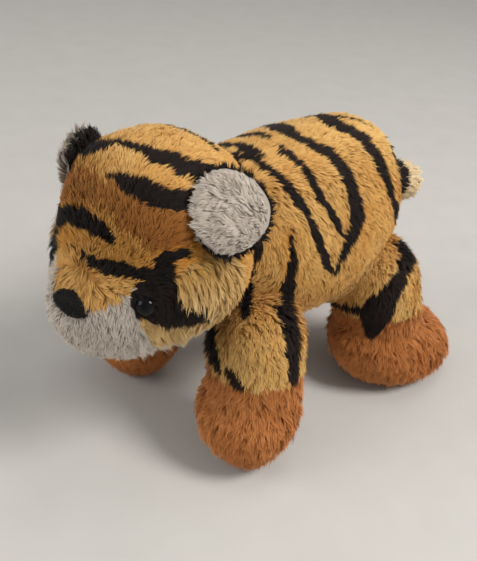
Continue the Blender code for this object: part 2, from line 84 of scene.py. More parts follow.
def noise(p, size, seed=0):
    """Smooth value noise in -1..1 with features of this size, in the units of p."""
    q = p / size + 100.0
    f = np.floor(q)
    t = q - f
    t = t * t * (3 - 2 * t)
    f = f.astype(np.int64)
    out = 0.0
    for dx in (0, 1):
        for dy in (0, 1):
            for dz in (0, 1):
                w = ((t[:, 0] if dx else 1 - t[:, 0]) * (t[:, 1] if dy else 1 - t[:, 1])
                     * (t[:, 2] if dz else 1 - t[:, 2]))
                out = out + w * lattice(f[:, 0] + dx, f[:, 1] + dy, f[:, 2] + dz, seed)
    return out


def along_line(p, line, scale=None):
    """For each point, its distance to a marking's centre line minus the marking's half width there.
    line is a list of (coordinates..., half width)."""
    line = np.array(line, float)
    a, b = line[:-1], line[1:]
    best = np.full(len(p), 1e9)
    for s, e in zip(a, b):
        d = e[:-1] - s[:-1]
        t = np.clip(((p - s[:-1]) @ d) / max(d @ d, 1e-12), 0, 1)
        away = np.linalg.norm(p - (s[:-1] + t[:, None] * d), axis=1) - (s[-1] + t * (e[-1] - s[-1]))
        best = np.minimum(best, away)
    return best


def nearest(p, lines):
    out = np.full(len(p), 1e9)
    for line in lines:
        out = np.minimum(out, along_line(p, line))
    return out


# ------------------------------------------------------------------- the forms
SKULL = (np.array([0, 0, 0.020]), np.array([0.350, 0.332, 0.380]))
SKULL_POWER = 2.4
JAW_SQUEEZE = 0.84
MUZZLE = (np.array([0, -0.250, -0.185]), np.array([0.238, 0.205, 0.195]))
CHEEK = (np.array([0.165, -0.045, -0.090]), np.array([0.212, 0.235, 0.210]))
SOFTNESS = 0.10
TURN = np.array([[math.cos(HEAD_TURN), -math.sin(HEAD_TURN), 0], [math.sin(HEAD_TURN), math.cos(HEAD_TURN), 0], [0, 0, 1]])


def head_distance(p):
    ds = []
    for centre, radii in (SKULL, MUZZLE, CHEEK, (CHEEK[0] * [-1, 1, 1], CHEEK[1])):
        q = p - centre
        if centre is SKULL[0]:
            q = q.copy()
            q[:, 2] = np.where(q[:, 2] < 0, q[:, 2] / JAW_SQUEEZE, q[:, 2])
            k = (np.abs(q / radii) ** SKULL_POWER).sum(1) ** (1 / SKULL_POWER)
        else:
            k = np.linalg.norm(q / radii, axis=1)
        ds.append((k - 1) * min(radii))
    d = ds[0]
    for e in ds[1:]:
        h = np.clip(0.5 + 0.5 * (e - d) / SOFTNESS, 0, 1)
        d = e * (1 - h) + d * h - SOFTNESS * h * (1 - h)
    return d


def head_reach(directions):
    low, high = np.zeros(len(directions)), np.ones(len(directions))
    for _ in range(34):
        mid = (low + high) / 2
        inside = head_distance(directions * mid[:, None]) < 0
        low, high = np.where(inside, mid, low), np.where(inside, high, mid)
    return low


def head_local(p):
    """From W, unshifted, to the head's own frame."""
    return (p - HEAD_CENTRE) @ TURN


def head_world(p):
    return p @ TURN.T + HEAD_CENTRE


TORSO_FRONT, TORSO_REAR, TORSO_A, TORSO_B, TORSO_Z = -0.60, 0.612, 0.415, 0.398, 0.772
CHEST_ROUND, RUMP_WIDTH_ROUND, RUMP_HEIGHT_ROUND, RUMP_RISE = 0.72, 0.90, 0.52, 0.045
T_MID, T_HALF = (TORSO_FRONT + TORSO_REAR) / 2, (TORSO_REAR - TORSO_FRONT) / 2


def torso_ring(y):
    c = np.clip((y - T_MID) / T_HALF, -1, 1)
    s = np.sqrt(np.clip(1 - c * c, 0, 1))
    a = TORSO_A * s ** np.where(c > 0, RUMP_WIDTH_ROUND, CHEST_ROUND)
    b = TORSO_B * s ** np.where(c > 0, RUMP_HEIGHT_ROUND, CHEST_ROUND)
    z = TORSO_Z - 0.014 * np.cos(2 * np.pi * (y - T_MID) / (2 * T_HALF) * 1.3) + RUMP_RISE * np.maximum(c, 0) ** 2
    return a + 1e-9, b + 1e-9, z


def torso_distance(p):
    a, b, z = torso_ring(p[:, 1])
    r = np.sqrt((p[:, 0] / a) ** 2 + ((p[:, 2] - z) / b) ** 2)
    return (r - 1) * np.minimum(a, b)


def torso_turn(p):
    """Angle round the torso in degrees, 0 on the back, positive to the toy's left."""
    a, b, z = torso_ring(p[:, 1])
    return np.degrees(np.arctan2(p[:, 0] / a, (p[:, 2] - z) / b))


FRONT = dict(pivot=np.array([0.345, -0.460, 0.475]), ball=(0.190, 0.195), foot=(0.410, -0.530), paw=0.410, grow=(1.05, 0.88),
             taper=0.42, toe=0.030)
FRONT_RIGHT = dict(FRONT, foot=(0.320, -0.500))
REAR = dict(pivot=np.array([0.345, 0.318, 0.472]), ball=(0.192, 0.206), foot=(0.394, 0.520), paw=0.395, grow=(1.18, 1.29),
            taper=0.0, toe=0.0)
LEGS = {"front_left": (FRONT, 1), "front_right": (FRONT_RIGHT, -1), "rear_left": (REAR, 1), "rear_right": (REAR, -1)}


def leg_rings(leg, fine=7):
    """(z, x, y, half width, half length) of a left leg from top to sole, through a smooth curve."""
    pv, (bx, br), (gx, gy) = leg["pivot"], leg["ball"], leg["grow"]
    rows = []
    for k in (0, 1, 2, 3):
        u = math.pi / 2 * k / 3
        rows.append((pv[2] + br * math.cos(u), pv[0], pv[1], bx * math.sin(u) + 1e-5, br * math.sin(u) + 1e-5))
    for z, a, b, reach in ((0.33, 0.193, 0.212, 0.010), (0.26, 0.207, 0.236, 0.022), (0.18, 0.218, 0.258, 0.030),
                           (0.10, 0.212, 0.256, 0.034), (0.04, 0.178, 0.220, 0.034), (0.010, 0.126, 0.166, 0.032),
                           (0.0, 0.090, 0.122, 0.030)):
        t = float(smooth(0, 1, (pv[2] - z) / pv[2]))
        low = float(smooth(0, 1, (0.36 - z) / 0.16))
        narrow = 1 - leg["taper"] * float(smooth(0, 1, (0.27 - z) / 0.27))
        x = pv[0] + (leg["foot"][0] - pv[0]) * t
        y = pv[1] + (leg["foot"][1] - pv[1]) * t - reach + leg["toe"] * float(smooth(0, 1, (0.14 - z) / 0.14))
        a, b = a * (1 + (gx - 1) * low), b * (1 + (gy - 1) * low)
        rows.append((z, x, y, (a + (bx - 0.190) * (1 - low)) * narrow, (b + (br - 0.205) * (1 - low)) * narrow))
    rows = np.array(rows)
    ends = np.vstack([2 * rows[0] - rows[1], rows, 2 * rows[-1] - rows[-2]])
    out = []
    for i in range(1, len(rows)):
        p0, p1, p2, p3 = ends[i - 1], ends[i], ends[i + 1], ends[i + 2]
        for t in np.arange(fine) / fine:
            out.append(0.5 * (2 * p1 + (p2 - p0) * t + (2 * p0 - 5 * p1 + 4 * p2 - p3) * t * t
                              + (3 * p1 - p0 - 3 * p2 + p3) * t ** 3))
    out.append(rows[-1])
    out = np.array(out)
    out[:, 0] = np.maximum(out[:, 0], 0.0)
    out[:, 3:] = np.maximum(out[:, 3:], 1e-4)
    for shrink in (0.7, 0.4, 0.12):    # the flat sole
        last = out[len(out) - 1].copy()
        last[3:] = rows[-1][3:] * shrink
        last[0] = 0.0
        out = np.vstack([out, last])
    return out


def leg_distance(p, leg, side):
    r = LEG_TABLE[id(leg)]
    x, y, a, b = [np.interp(p[:, 2], r[:, 0], r[:, i]) for i in (1, 2, 3, 4)]
    d = (np.sqrt(((p[:, 0] - x * side) / a) ** 2 + ((p[:, 1] - y) / b) ** 2) - 1) * np.minimum(a, b)
    return np.where(p[:, 2] > leg["pivot"][2] + leg["ball"][1], 1.0, d)


LEG_TABLE = {id(leg): leg_rings(leg)[::-1][3:] for leg in (FRONT, FRONT_RIGHT, REAR)}
TAIL_ROOT, TAIL_TIP, TAIL_RADIUS = np.array([0.0, 0.612, 0.800]), np.array([0.050, 0.808, 0.752]), 0.093


# ------------------------------------------------------------- grids and skins
def tube(rings, sides, u_axis, v_axis):
    """Quads round a stack of rings (centre, a, b)."""
    ang = 2 * np.pi * (np.arange(sides) + 0.5) / sides
    pts = np.concatenate([c + np.outer(np.cos(ang) * a, u_axis) + np.outer(np.sin(ang) * b, v_axis) for c, a, b in rings])
    n = len(rings)
    i, j = np.meshgrid(np.arange(n - 1), np.arange(sides), indexing="ij")
    a = i * sides + j
    b = i * sides + (j + 1) % sides
    faces = np.stack([a, b, b + sides, a + sides], -1).reshape(-1, 4)
    faces = np.concatenate([faces[:, [0, 1, 2]], faces[:, [0, 2, 3]]])
    ends = []
    for row, flip in ((0, True), (n - 1, False)):
        mid = len(pts)
        pts = np.vstack([pts, pts[row * sides:(row + 1) * sides].mean(0)])
        k = row * sides + np.arange(sides)
        m = row * sides + (np.arange(sides) + 1) % sides
        ends.append(np.stack([k, m, np.full(sides, mid)] if not flip else [m, k, np.full(sides, mid)], -1))
    return pts, np.concatenate([faces, *ends])


def outward(v, f, centre):
    a, b, c = v[f[:, 0]], v[f[:, 1]], v[f[:, 2]]
    if (np.cross(b - a, c - a) * ((a + b + c) / 3 - centre)).sum() < 0:
        f = f[:, ::-1]
    return f


def normals(v, f):
    n = np.cross(v[f[:, 1]] - v[f[:, 0]], v[f[:, 2]] - v[f[:, 0]])
    out = np.zeros_like(v)
    for k in range(3):
        np.add.at(out, f[:, k], n)
    return unit(out)


def ball_mesh(level):
    bm = bmesh.new()
    bmesh.ops.create_icosphere(bm, subdivisions=level, radius=1.0)
    v = unit(np.array([x.co[:] for x in bm.verts]))
    f = np.array([[x.index for x in t.verts] for t in bm.faces])
    bm.free()
    return v, f


class Form:
    """The outline of one soft body in W, with its backing skin just inside."""

    def __init__(self, v, f, centre, inset=INSET / W, lumps=0.45 * MM, grain=0.13, seed=1):
        self.v, self.f = v, outward(v, f, centre)
        self.n = normals(self.v, self.f)
        inset = inset(self.v) if callable(inset) else inset
        lump = lumps * (noise(v, grain, seed) + 0.5 * noise(v, grain * 0.45, seed + 1))
        self.skin = self.v - self.n * np.reshape(inset - lump, (-1, 1))

    def flow(self, other, width):
        """Raises the skin where it meets another body, so that the two run into each other."""
        near = np.maximum(width - np.abs(other(self.v)), 0)
        self.skin = self.skin + self.n * (near ** 2 / (4 * width))[:, None]

    def dent(self, lines, depth, width, to=lambda p: p):
        """Presses a crease into the skin along lines."""
        d = np.maximum(nearest(to(self.v), lines), 0)
        self.skin = self.skin - self.n * (depth * np.exp(-(d / width) ** 2))[:, None]


def scatter(form, spacing, keep, seed, weight=None):
    """Evenly spread points on the skin: position on the skin and normal."""
    rng = np.random.default_rng(seed)
    v, f = form.skin, form.f
    a, b, c = v[f[:, 0]], v[f[:, 1]], v[f[:, 2]]
    area = np.linalg.norm(np.cross(b - a, c - a), axis=1) / 2
    ok = keep((a + b + c) / 3)
    area = np.where(ok, area, 0)
    total = area.sum()
    if total <= 0:
        return np.zeros((0, 3)), np.zeros((0, 3))
    count = int(total / spacing ** 2 * 2.6) + 1
    pick = rng.choice(len(f), size=count, p=area / total)
    w = rng.dirichlet((1, 1, 1), size=count)
    p = a[pick] * w[:, :1] + b[pick] * w[:, 1:2] + c[pick] * w[:, 2:]
    cells = {}
    kept = []
    key = np.floor(p / spacing).astype(int)
    gap = (spacing * 0.82) ** 2
    points = p.tolist()
    for i, (x, y, z) in enumerate(key.tolist()):
        px, py, pz = points[i]
        good = True
        for dx in (-1, 0, 1):
            for dy in (-1, 0, 1):
                for dz in (-1, 0, 1):
                    for j in cells.get((x + dx, y + dy, z + dz), ()):
                        q = points[j]
                        if (px - q[0]) ** 2 + (py - q[1]) ** 2 + (pz - q[2]) ** 2 < gap:
                            good = False
                            break
                    if not good:
                        break
                if not good:
                    break
            if not good:
                break
        if good:
            cells.setdefault((x, y, z), []).append(i)
            kept.append(i)
    kept = np.array(kept)
    n = form.n[f[pick[kept]]]
    n = unit((n * w[kept][:, :, None]).sum(1))
    return p[kept], n


# -------------------------------------------------------------------- palette
# one band of the map for each dyed fibre; across a band the shade goes from deep to pale, up it from root to tip
GOLD, BLACK, WHITE, RUST, CHEEKY, BELLY, PALE, AMBER = range(8)
BANDS = 8


def band_u(kind, shade):
    return (kind + 0.14 + 0.72 * np.clip(shade, 0, 1)) / BANDS


class Pile:
    """Collects the skin and the tufts of one panel."""

    def __init__(self):
        self.v, self.f, self.uv, self.nrm, self.at = [], [], [], [], 0

    def add(self, v, f, uv, nrm):
        """uv and nrm are per vertex."""
        self.v.append(v)
        self.f.append(f + self.at)
        self.uv.append(uv)
        self.nrm.append(nrm)
        self.at += len(v)

    def skin(self, form, chosen, kind, shade):
        f = form.f[chosen]
        used, f = np.unique(f, return_inverse=True)
        f = f.reshape(-1, 3)
        # the skin's faces don't share map points, so that each face keeps one dye
        v = form.skin[used][f].reshape(-1, 3)
        n = form.n[used][f].reshape(-1, 3)
        centre = v.reshape(-1, 3, 3).mean(1)
        k, s = kind(centre), shade(centre)
        u = band_u(k, s)
        # the backing takes the darker root colour: painted shade under the tufts
        corner = np.array([[-0.0045, 0.02], [0.0045, 0.02], [0.0, 0.07]])
        uv = np.stack([u[:, None] + corner[None, :, 0], np.zeros((len(u), 1)) + corner[None, :, 1]], -1).reshape(-1, 2)
        g = np.arange(len(v)).reshape(-1, 3)
        # weld the points again so that the skin stays one sheet; the map is per corner
        self.sheet = getattr(self, "sheet", [])
        self.sheet.append((form.skin[used], f, uv, form.n[used]))
        return g

    def tufts(self, p, n, comb, kind, shade, length, lean, per, radius, width, seed, gather=0.36, curl=0.2,
              stray=0.08, steps=2, floor=None, lift=0.0, hook=0.0, soft=0.84):
        """Tufts of tapered fibres: per fibres round each point p, gathered towards the tuft's own curved axis.
        comb is the direction the pile lies in, lean its angle from upright at root and tip in degrees. kind tells the
        dye at a place, and a fibre takes the dye of the place that it covers. hook turns each tuft like a comma."""
        m = len(p)
        if m == 0:
            return
        rng = np.random.default_rng(seed)
        t = flat(comb, n)
        s = np.cross(n, t)
        turn = rng.normal(0, curl, m) + 0.9 * curl * noise(p, 0.11, seed + 3) - 0.5 * hook
        t, s = (t * np.cos(turn)[:, None] + s * np.sin(turn)[:, None],
                s * np.cos(turn)[:, None] - t * np.sin(turn)[:, None])
        length = np.broadcast_to(length, m) * np.clip(1 + 0.14 * rng.normal(0, 1, m), 0.6, 1.5)
        twist = rng.normal(0, curl * 1.2, m) + hook
        l0, l1 = np.radians(lean[0]) + lift, np.radians(lean[1])
        l0 = l0 + rng.normal(0, 0.10, m)
        l1 = l1 + rng.normal(0, 0.12, m)
        axis = [p]
        for k in range(steps):
            x = (k + 0.5) / steps
            tilt = l0 + (l1 - l0) * x
            a = twist * x
            side = t * np.cos(a)[:, None] + s * np.sin(a)[:, None]
            axis.append(axis[-1] + (n * np.cos(tilt)[:, None] + side * np.sin(tilt)[:, None]) * (length / steps)[:, None])
        axis = np.stack(axis, 1)                                  # m, steps+1, 3
        r = radius * np.sqrt(rng.random((m, per)))
        g = rng.random((m, per)) * 2 * np.pi
        offset = (t[:, None] * (r * np.cos(g))[..., None] + s[:, None] * (r * np.sin(g))[..., None])
        own = np.clip(1 + 0.16 * rng.normal(0, 1, (m, per)), 0.55, 1.45)
        wander = rng.normal(0, stray, (m, per, 3)) * np.mean(length)
        x = np.arange(steps + 1) / steps
        hold = 1 - gather * x ** 0.9
        curve = (axis[:, None, :1] + (axis[:, None] - axis[:, None, :1]) * own[..., None, None]
                 + offset[:, :, None] * hold[None, None, :, None] + wander[:, :, None] * (x ** 1.4)[None, None, :, None])
        count = m * per
        curve = curve.reshape(count, steps + 1, 3)
        nn = np.repeat(n, per, 0)
        tangent = unit(curve[:, 1:] - curve[:, :-1])
        across = unit(np.cross(tangent, nn[:, None]) + 1e-6)
        roll = rng.normal(0, 0.40, count)[:, None, None]
        other = np.cross(tangent, across)
        across = across * np.cos(roll) + other * np.sin(roll)
        wide = width * np.clip(1 + 0.22 * rng.normal(0, 1, count), 0.5, 1.6)
        profile = {2: (0.90, 0.85), 3: (0.85, 1.0, 0.72), 4: (0.80, 1.0, 0.90, 0.62)}[steps]
        verts = np.empty((count, 2 * steps + 1, 3))
        for k in range(steps):
            half = across[:, k] * (wide * profile[k] / 2)[:, None]
            verts[:, 2 * k] = curve[:, k] - half
            verts[:, 2 * k + 1] = curve[:, k] + half
        verts[:, -1] = curve[:, -1]
        if floor is not None:
            verts[:, :, 2] = np.maximum(verts[:, :, 2], floor)
        tris = []
        for k in range(steps - 1):
            a = 2 * k
            tris += [(a, a + 1, a + 3), (a, a + 3, a + 2)]
        a = 2 * (steps - 1)
        tris.append((a, a + 1, a + 2))
        tris = np.array(tris)
        faces = (np.arange(count)[:, None, None] * (2 * steps + 1) + tris[None]).reshape(-1, 3)
        covers = curve[:, 0] * 0.42 + curve[:, -1] * 0.58
        covers = covers - nn * dot(covers - curve[:, 0], nn)
        kinds = kind(covers)
        shades = (shade[:, None] + rng.normal(0, 0.07, (m, per))).reshape(-1)
        u = band_u(kinds, shades)
        v_at = np.concatenate([np.repeat(np.arange(steps) / steps, 2), [1.0]]) * 0.9 + 0.05
        du = np.array([-1, 1] * steps + [0]) * 0.0045
        uv = np.stack([u[:, None] + du[None], np.broadcast_to(v_at[None], (count, len(v_at)))], -1).reshape(-1, 2)
        # soft shading: between the fibre's own face and the fabric's
        face = unit(np.cross(across, tangent))
        sign = np.sign(dot(face, nn[:, None]))
        face = face * np.where(sign == 0, 1, sign)
        own_n = np.concatenate([np.repeat(face, 2, 1), face[:, -1:]], 1)
        nrm = unit(own_n * (1 - soft) + nn[:, None] * soft)
        flip = (sign.mean(1) < 0).reshape(-1)
        faces = faces.reshape(count, -1, 3)
        faces[flip] = faces[flip][:, :, ::-1]
        self.add(verts.reshape(-1, 3), faces.reshape(-1, 3), uv, nrm.reshape(-1, 3))

    def make(self, name, material, to_world=None):
        v = [x for x in self.v]
        f = [x for x in self.f]
        corner_uv = [uv[face - base] for uv, face, base in self._parts()]
        n = [x for x in self.nrm]
        at = self.at
        for sv, sf, suv, sn in getattr(self, "sheet", []):
            v.append(sv)
            f.append(sf + at)
            corner_uv.append(suv.reshape(-1, 3, 2))
            n.append(sn)
            at += len(sv)
        v, f, n = np.concatenate(v), np.concatenate(f), np.concatenate(n)
        corner_uv = np.concatenate(corner_uv).reshape(-1, 2)
        if to_world is not None:
            v, n = to_world(v), to_world(v + n) - to_world(v)
        v = v * W + np.array([0, SHIFT, 0])
        mesh = bpy.data.meshes.new(name)
        mesh.vertices.add(len(v))
        mesh.vertices.foreach_set("co", v.astype(np.float32).ravel())
        mesh.loops.add(f.size)
        mesh.loops.foreach_set("vertex_index", f.astype(np.int32).ravel())
        mesh.polygons.add(len(f))
        mesh.polygons.foreach_set("loop_start", (np.arange(len(f)) * 3).astype(np.int32))
        mesh.update(calc_edges=True)
        mesh.polygons.foreach_set("use_smooth", np.ones(len(f), bool))
        for layer in ("FurUV", "OFBake"):
            uv = mesh.uv_layers.new(name=layer, do_init=False)
            uv.data.foreach_set("uv", corner_uv.astype(np.float32).ravel())
        mesh.normals_split_custom_set_from_vertices(unit(n).astype(np.float32))
        mesh.materials.append(material)
        obj = bpy.data.objects.new(name, mesh)
        bpy.context.scene.collection.objects.link(obj)
        return obj

    def _parts(self):
        base = 0
        for v, f, uv in zip(self.v, self.f, self.uv):
            yield uv, f, base
            base += len(v)


# ------------------------------------------------------------------ materials
def nodes_of(name):
    mat = bpy.data.materials.new(name)
    mat.use_nodes = True
    tree = mat.node_tree
    tree.nodes.clear()
    out = tree.nodes.new("ShaderNodeOutputMaterial")
    shader = tree.nodes.new("ShaderNodeBsdfPrincipled")
    tree.links.new(shader.outputs["BSDF"], out.inputs["Surface"])
    return mat, tree, shader


# the roots are darker than the tips: painted shade deep in the pile
DYES = {   # root deep, root pale, tip deep, tip pale (linear)
    GOLD: ((0.330, 0.125, 0.016), (0.560, 0.300, 0.080), (0.590, 0.245, 0.029), (0.880, 0.590, 0.220)),
    BLACK: ((0.005, 0.004, 0.003), (0.010, 0.007, 0.006), (0.007, 0.005, 0.004), (0.024, 0.014, 0.012)),
    WHITE: ((0.330, 0.285, 0.240), (0.480, 0.430, 0.380), (0.500, 0.430, 0.365), (0.780, 0.710, 0.630)),
    RUST: ((0.235, 0.060, 0.011), (0.410, 0.140, 0.034), (0.390, 0.112, 0.021), (0.680, 0.280, 0.090)),
    CHEEKY: ((0.350, 0.160, 0.032), (0.560, 0.345, 0.120), (0.520, 0.285, 0.063), (0.840, 0.630, 0.320)),
    BELLY: ((0.430, 0.280, 0.120), (0.570, 0.430, 0.250), (0.700, 0.520, 0.280), (0.900, 0.780, 0.560)),
    PALE: ((0.440, 0.280, 0.120), (0.580, 0.420, 0.220), (0.740, 0.530, 0.270), (0.920, 0.790, 0.540)),
    # AMBER serves the face's deeper brown, which is partly painted shade
    AMBER: ((0.200, 0.066, 0.012), (0.330, 0.125, 0.028), (0.330, 0.118, 0.022), (0.600, 0.290, 0.080)),
}


def ramp(tree, which):
    node = tree.nodes.new("ShaderNodeValToRGB")
    node.color_ramp.interpolation = "LINEAR"
    els = node.color_ramp.elements
    stops = []
    for kind, dye in DYES.items():
        stops.append(((kind + 0.12) / BANDS, dye[which]))
        stops.append(((kind + 0.88) / BANDS, dye[which + 1]))
    while len(els) < len(stops):
        els.new(0.5)
    for el, (at, colour) in zip(els, stops):
        el.position = at
        el.color = (*colour, 1.0)
    return node


def pile_material():
    mat, tree, shader = nodes_of("dyed_pile")
    uv = tree.nodes.new("ShaderNodeUVMap")
    uv.uv_map = "FurUV"
    split = tree.nodes.new("ShaderNodeSeparateXYZ")
    tree.links.new(uv.outputs["UV"], split.inputs[0])
    root, tip = ramp(tree, 0), ramp(tree, 2)
    for r in (root, tip):
        tree.links.new(split.outputs["X"], r.inputs[0])
    up = tree.nodes.new("ShaderNodeMapRange")
    up.interpolation_type = "SMOOTHSTEP"
    for socket, value in (("From Min", 0.02), ("From Max", 0.80), ("To Min", 0.0), ("To Max", 1.0)):
        up.inputs[socket].default_value = value
    tree.links.new(split.outputs["Y"], up.inputs["Value"])
    # root to tip: the darker root colour is painted shade at the base of the pile
    mix = tree.nodes.new("ShaderNodeMix")
    mix.data_type = "RGBA"
    tree.links.new(up.outputs["Result"], mix.inputs["Factor"])
    tree.links.new(root.outputs["Color"], mix.inputs["A"])
    tree.links.new(tip.outputs["Color"], mix.inputs["B"])
    tree.links.new(mix.outputs["Result"], shader.inputs["Base Color"])
    shader.inputs["Roughness"].default_value = 0.78
    shader.inputs["Specular IOR Level"].default_value = 0.20
    shader.inputs["Sheen Weight"].default_value = 0.05
    shader.inputs["Sheen Roughness"].default_value = 0.5
    return mat


def grainy(name, colour_a, colour_b, scale, roughness, bump=0.3, distance=0.0002, coat=0.0, specular=0.5, detail=3.0):
    """Two mottled tones with a fine relief, all from object-space noise."""
    mat, tree, shader = nodes_of(name)
    where = tree.nodes.new("ShaderNodeTexCoord")
    tex = tree.nodes.new("ShaderNodeTexNoise")
    tex.inputs["Scale"].default_value = scale
    tex.inputs["Detail"].default_value = detail
    tree.links.new(where.outputs["Object"], tex.inputs["Vector"])
    r = tree.nodes.new("ShaderNodeValToRGB")
    r.color_ramp.elements[0].position, r.color_ramp.elements[1].position = 0.32, 0.70
    r.color_ramp.elements[0].color = (*colour_a, 1)
    r.color_ramp.elements[1].color = (*colour_b, 1)
    tree.links.new(tex.outputs["Fac"], r.inputs[0])
    tree.links.new(r.outputs["Color"], shader.inputs["Base Color"])
    rough = tree.nodes.new("ShaderNodeMapRange")
    rough.inputs["To Min"].default_value = roughness * 0.85
    rough.inputs["To Max"].default_value = min(1.0, roughness * 1.2)
    tree.links.new(tex.outputs["Fac"], rough.inputs["Value"])
    tree.links.new(rough.outputs["Result"], shader.inputs["Roughness"])
    b = tree.nodes.new("ShaderNodeBump")
    b.inputs["Strength"].default_value = bump
    b.inputs["Distance"].default_value = distance
    tree.links.new(tex.outputs["Fac"], b.inputs["Height"])
    tree.links.new(b.outputs["Normal"], shader.inputs["Normal"])
    shader.inputs["Coat Weight"].default_value = coat
    shader.inputs["Specular IOR Level"].default_value = specular
    return mat


PILE_MAT = pile_material()
FIBRE_MAT = grainy("polyester_fibre", (0.62, 0.61, 0.59), (0.88, 0.87, 0.85), 2600, 0.9, 0.8, 0.0006)
BEAD_MAT = grainy("eye_bead_plastic", (0.003, 0.003, 0.004), (0.008, 0.007, 0.009), 700, 0.10, 0.02, 0.00002, specular=0.14)
CLIP_MAT = grainy("washer_plastic", (0.70, 0.70, 0.67), (0.84, 0.84, 0.81), 900, 0.4, 0.15, 0.00005)
NOSE_MAT = grainy("nose_flock", (0.003, 0.003, 0.003), (0.012, 0.010, 0.010), 5200, 0.6, 0.45, 0.00012, specular=0.2)

# ------------------------------------------------------------------- markings
ARC = math.pi / 180 * 0.405


def torso_lines(side):
    """Stripes of one side in (station along the body, arc round it, half width)."""
    k = 1.0 if side > 0 else -1.0
    j = 0.0 if side > 0 else 0.03     # the far side's stripes fall a little differently
    rows = [
        [(-0.246, -38, .012), (-0.309, -20, .020), (-0.346, -4, .022), (-0.376, 10, .026), (-0.376, 28, .026), (-0.378, 42, .012),
         (-0.408, 52, .012), (-0.435, 60, .012), (-0.466, 74, .018), (-0.492, 87, .028), (-0.497, 106, .032), (-0.480, 122, .022)],
        [(-0.272, -9, .012), (-0.280, 2, .022), (-0.287, 16, .026), (-0.268, 31, .024), (-0.253, 42, .021), (-0.238, 52, .021),
         (-0.221, 64, .021), (-0.196, 80, .021), (-0.163, 90, .022), (-0.114, 98, .010)],
        [(-0.130, 5, .012), (-0.142, 12, .026), (-0.137, 23, .029), (-0.139, 36, .027), (-0.140, 47, .022), (-0.119, 56, .018),
         (-0.102, 65, .013), (-0.091, 73, .005)],
        [(0.042, -30, .014), (-0.008, -14, .026), (-0.033, 1, .029), (0.006, 14, .032), (0.043, 26, .036), (0.044, 40, .039),
         (0.036, 54, .041), (0.022, 64, .041), (-0.019, 73, .036), (-0.070, 82, .030), (-0.101, 91, .020), (-0.104, 98, .008)],
        [(0.234, -7, .020), (0.228, 3, .035), (0.246, 13, .039), (0.271, 26, .039), (0.278, 39, .038), (0.281, 52, .038),
         (0.292, 64, .034), (0.309, 74, .026), (0.345, 82, .034), (0.385, 90, .036), (0.400, 98, .012)],
        [(0.225, -26, .012), (0.250, -14, .016), (0.286, -7, .018), (0.340, 0, .020), (0.386, 7, .020), (0.420, 18, .010)],
        [(-0.325, 66, .008), (-0.330, 77, .013), (-0.326, 88, .020), (-0.328, 100, .028), (-0.313, 114, .032), (-0.280, 128, .016)],
        [(0.470, 30, .008), (0.462, 50, .026), (0.470, 70, .028), (0.500, 92, .010)],
    ]
    if side < 0:
        rows = rows[:5] + rows[6:]
        rows[0] = rows[0][2:]
        rows[3] = rows[3][2:]
    return [[(y + j, phi * ARC * k, h) for y, phi, h in row] for row in rows]


TORSO_LINES = torso_lines(1) + torso_lines(-1)
TORSO_CREASES = [[(-0.335, 62 * ARC, 0), (-0.350, 82 * ARC, 0), (-0.330, 98 * ARC, 0)],
                 [(-0.300, -66 * ARC, 0), (-0.320, -86 * ARC, 0), (-0.300, -100 * ARC, 0)]]

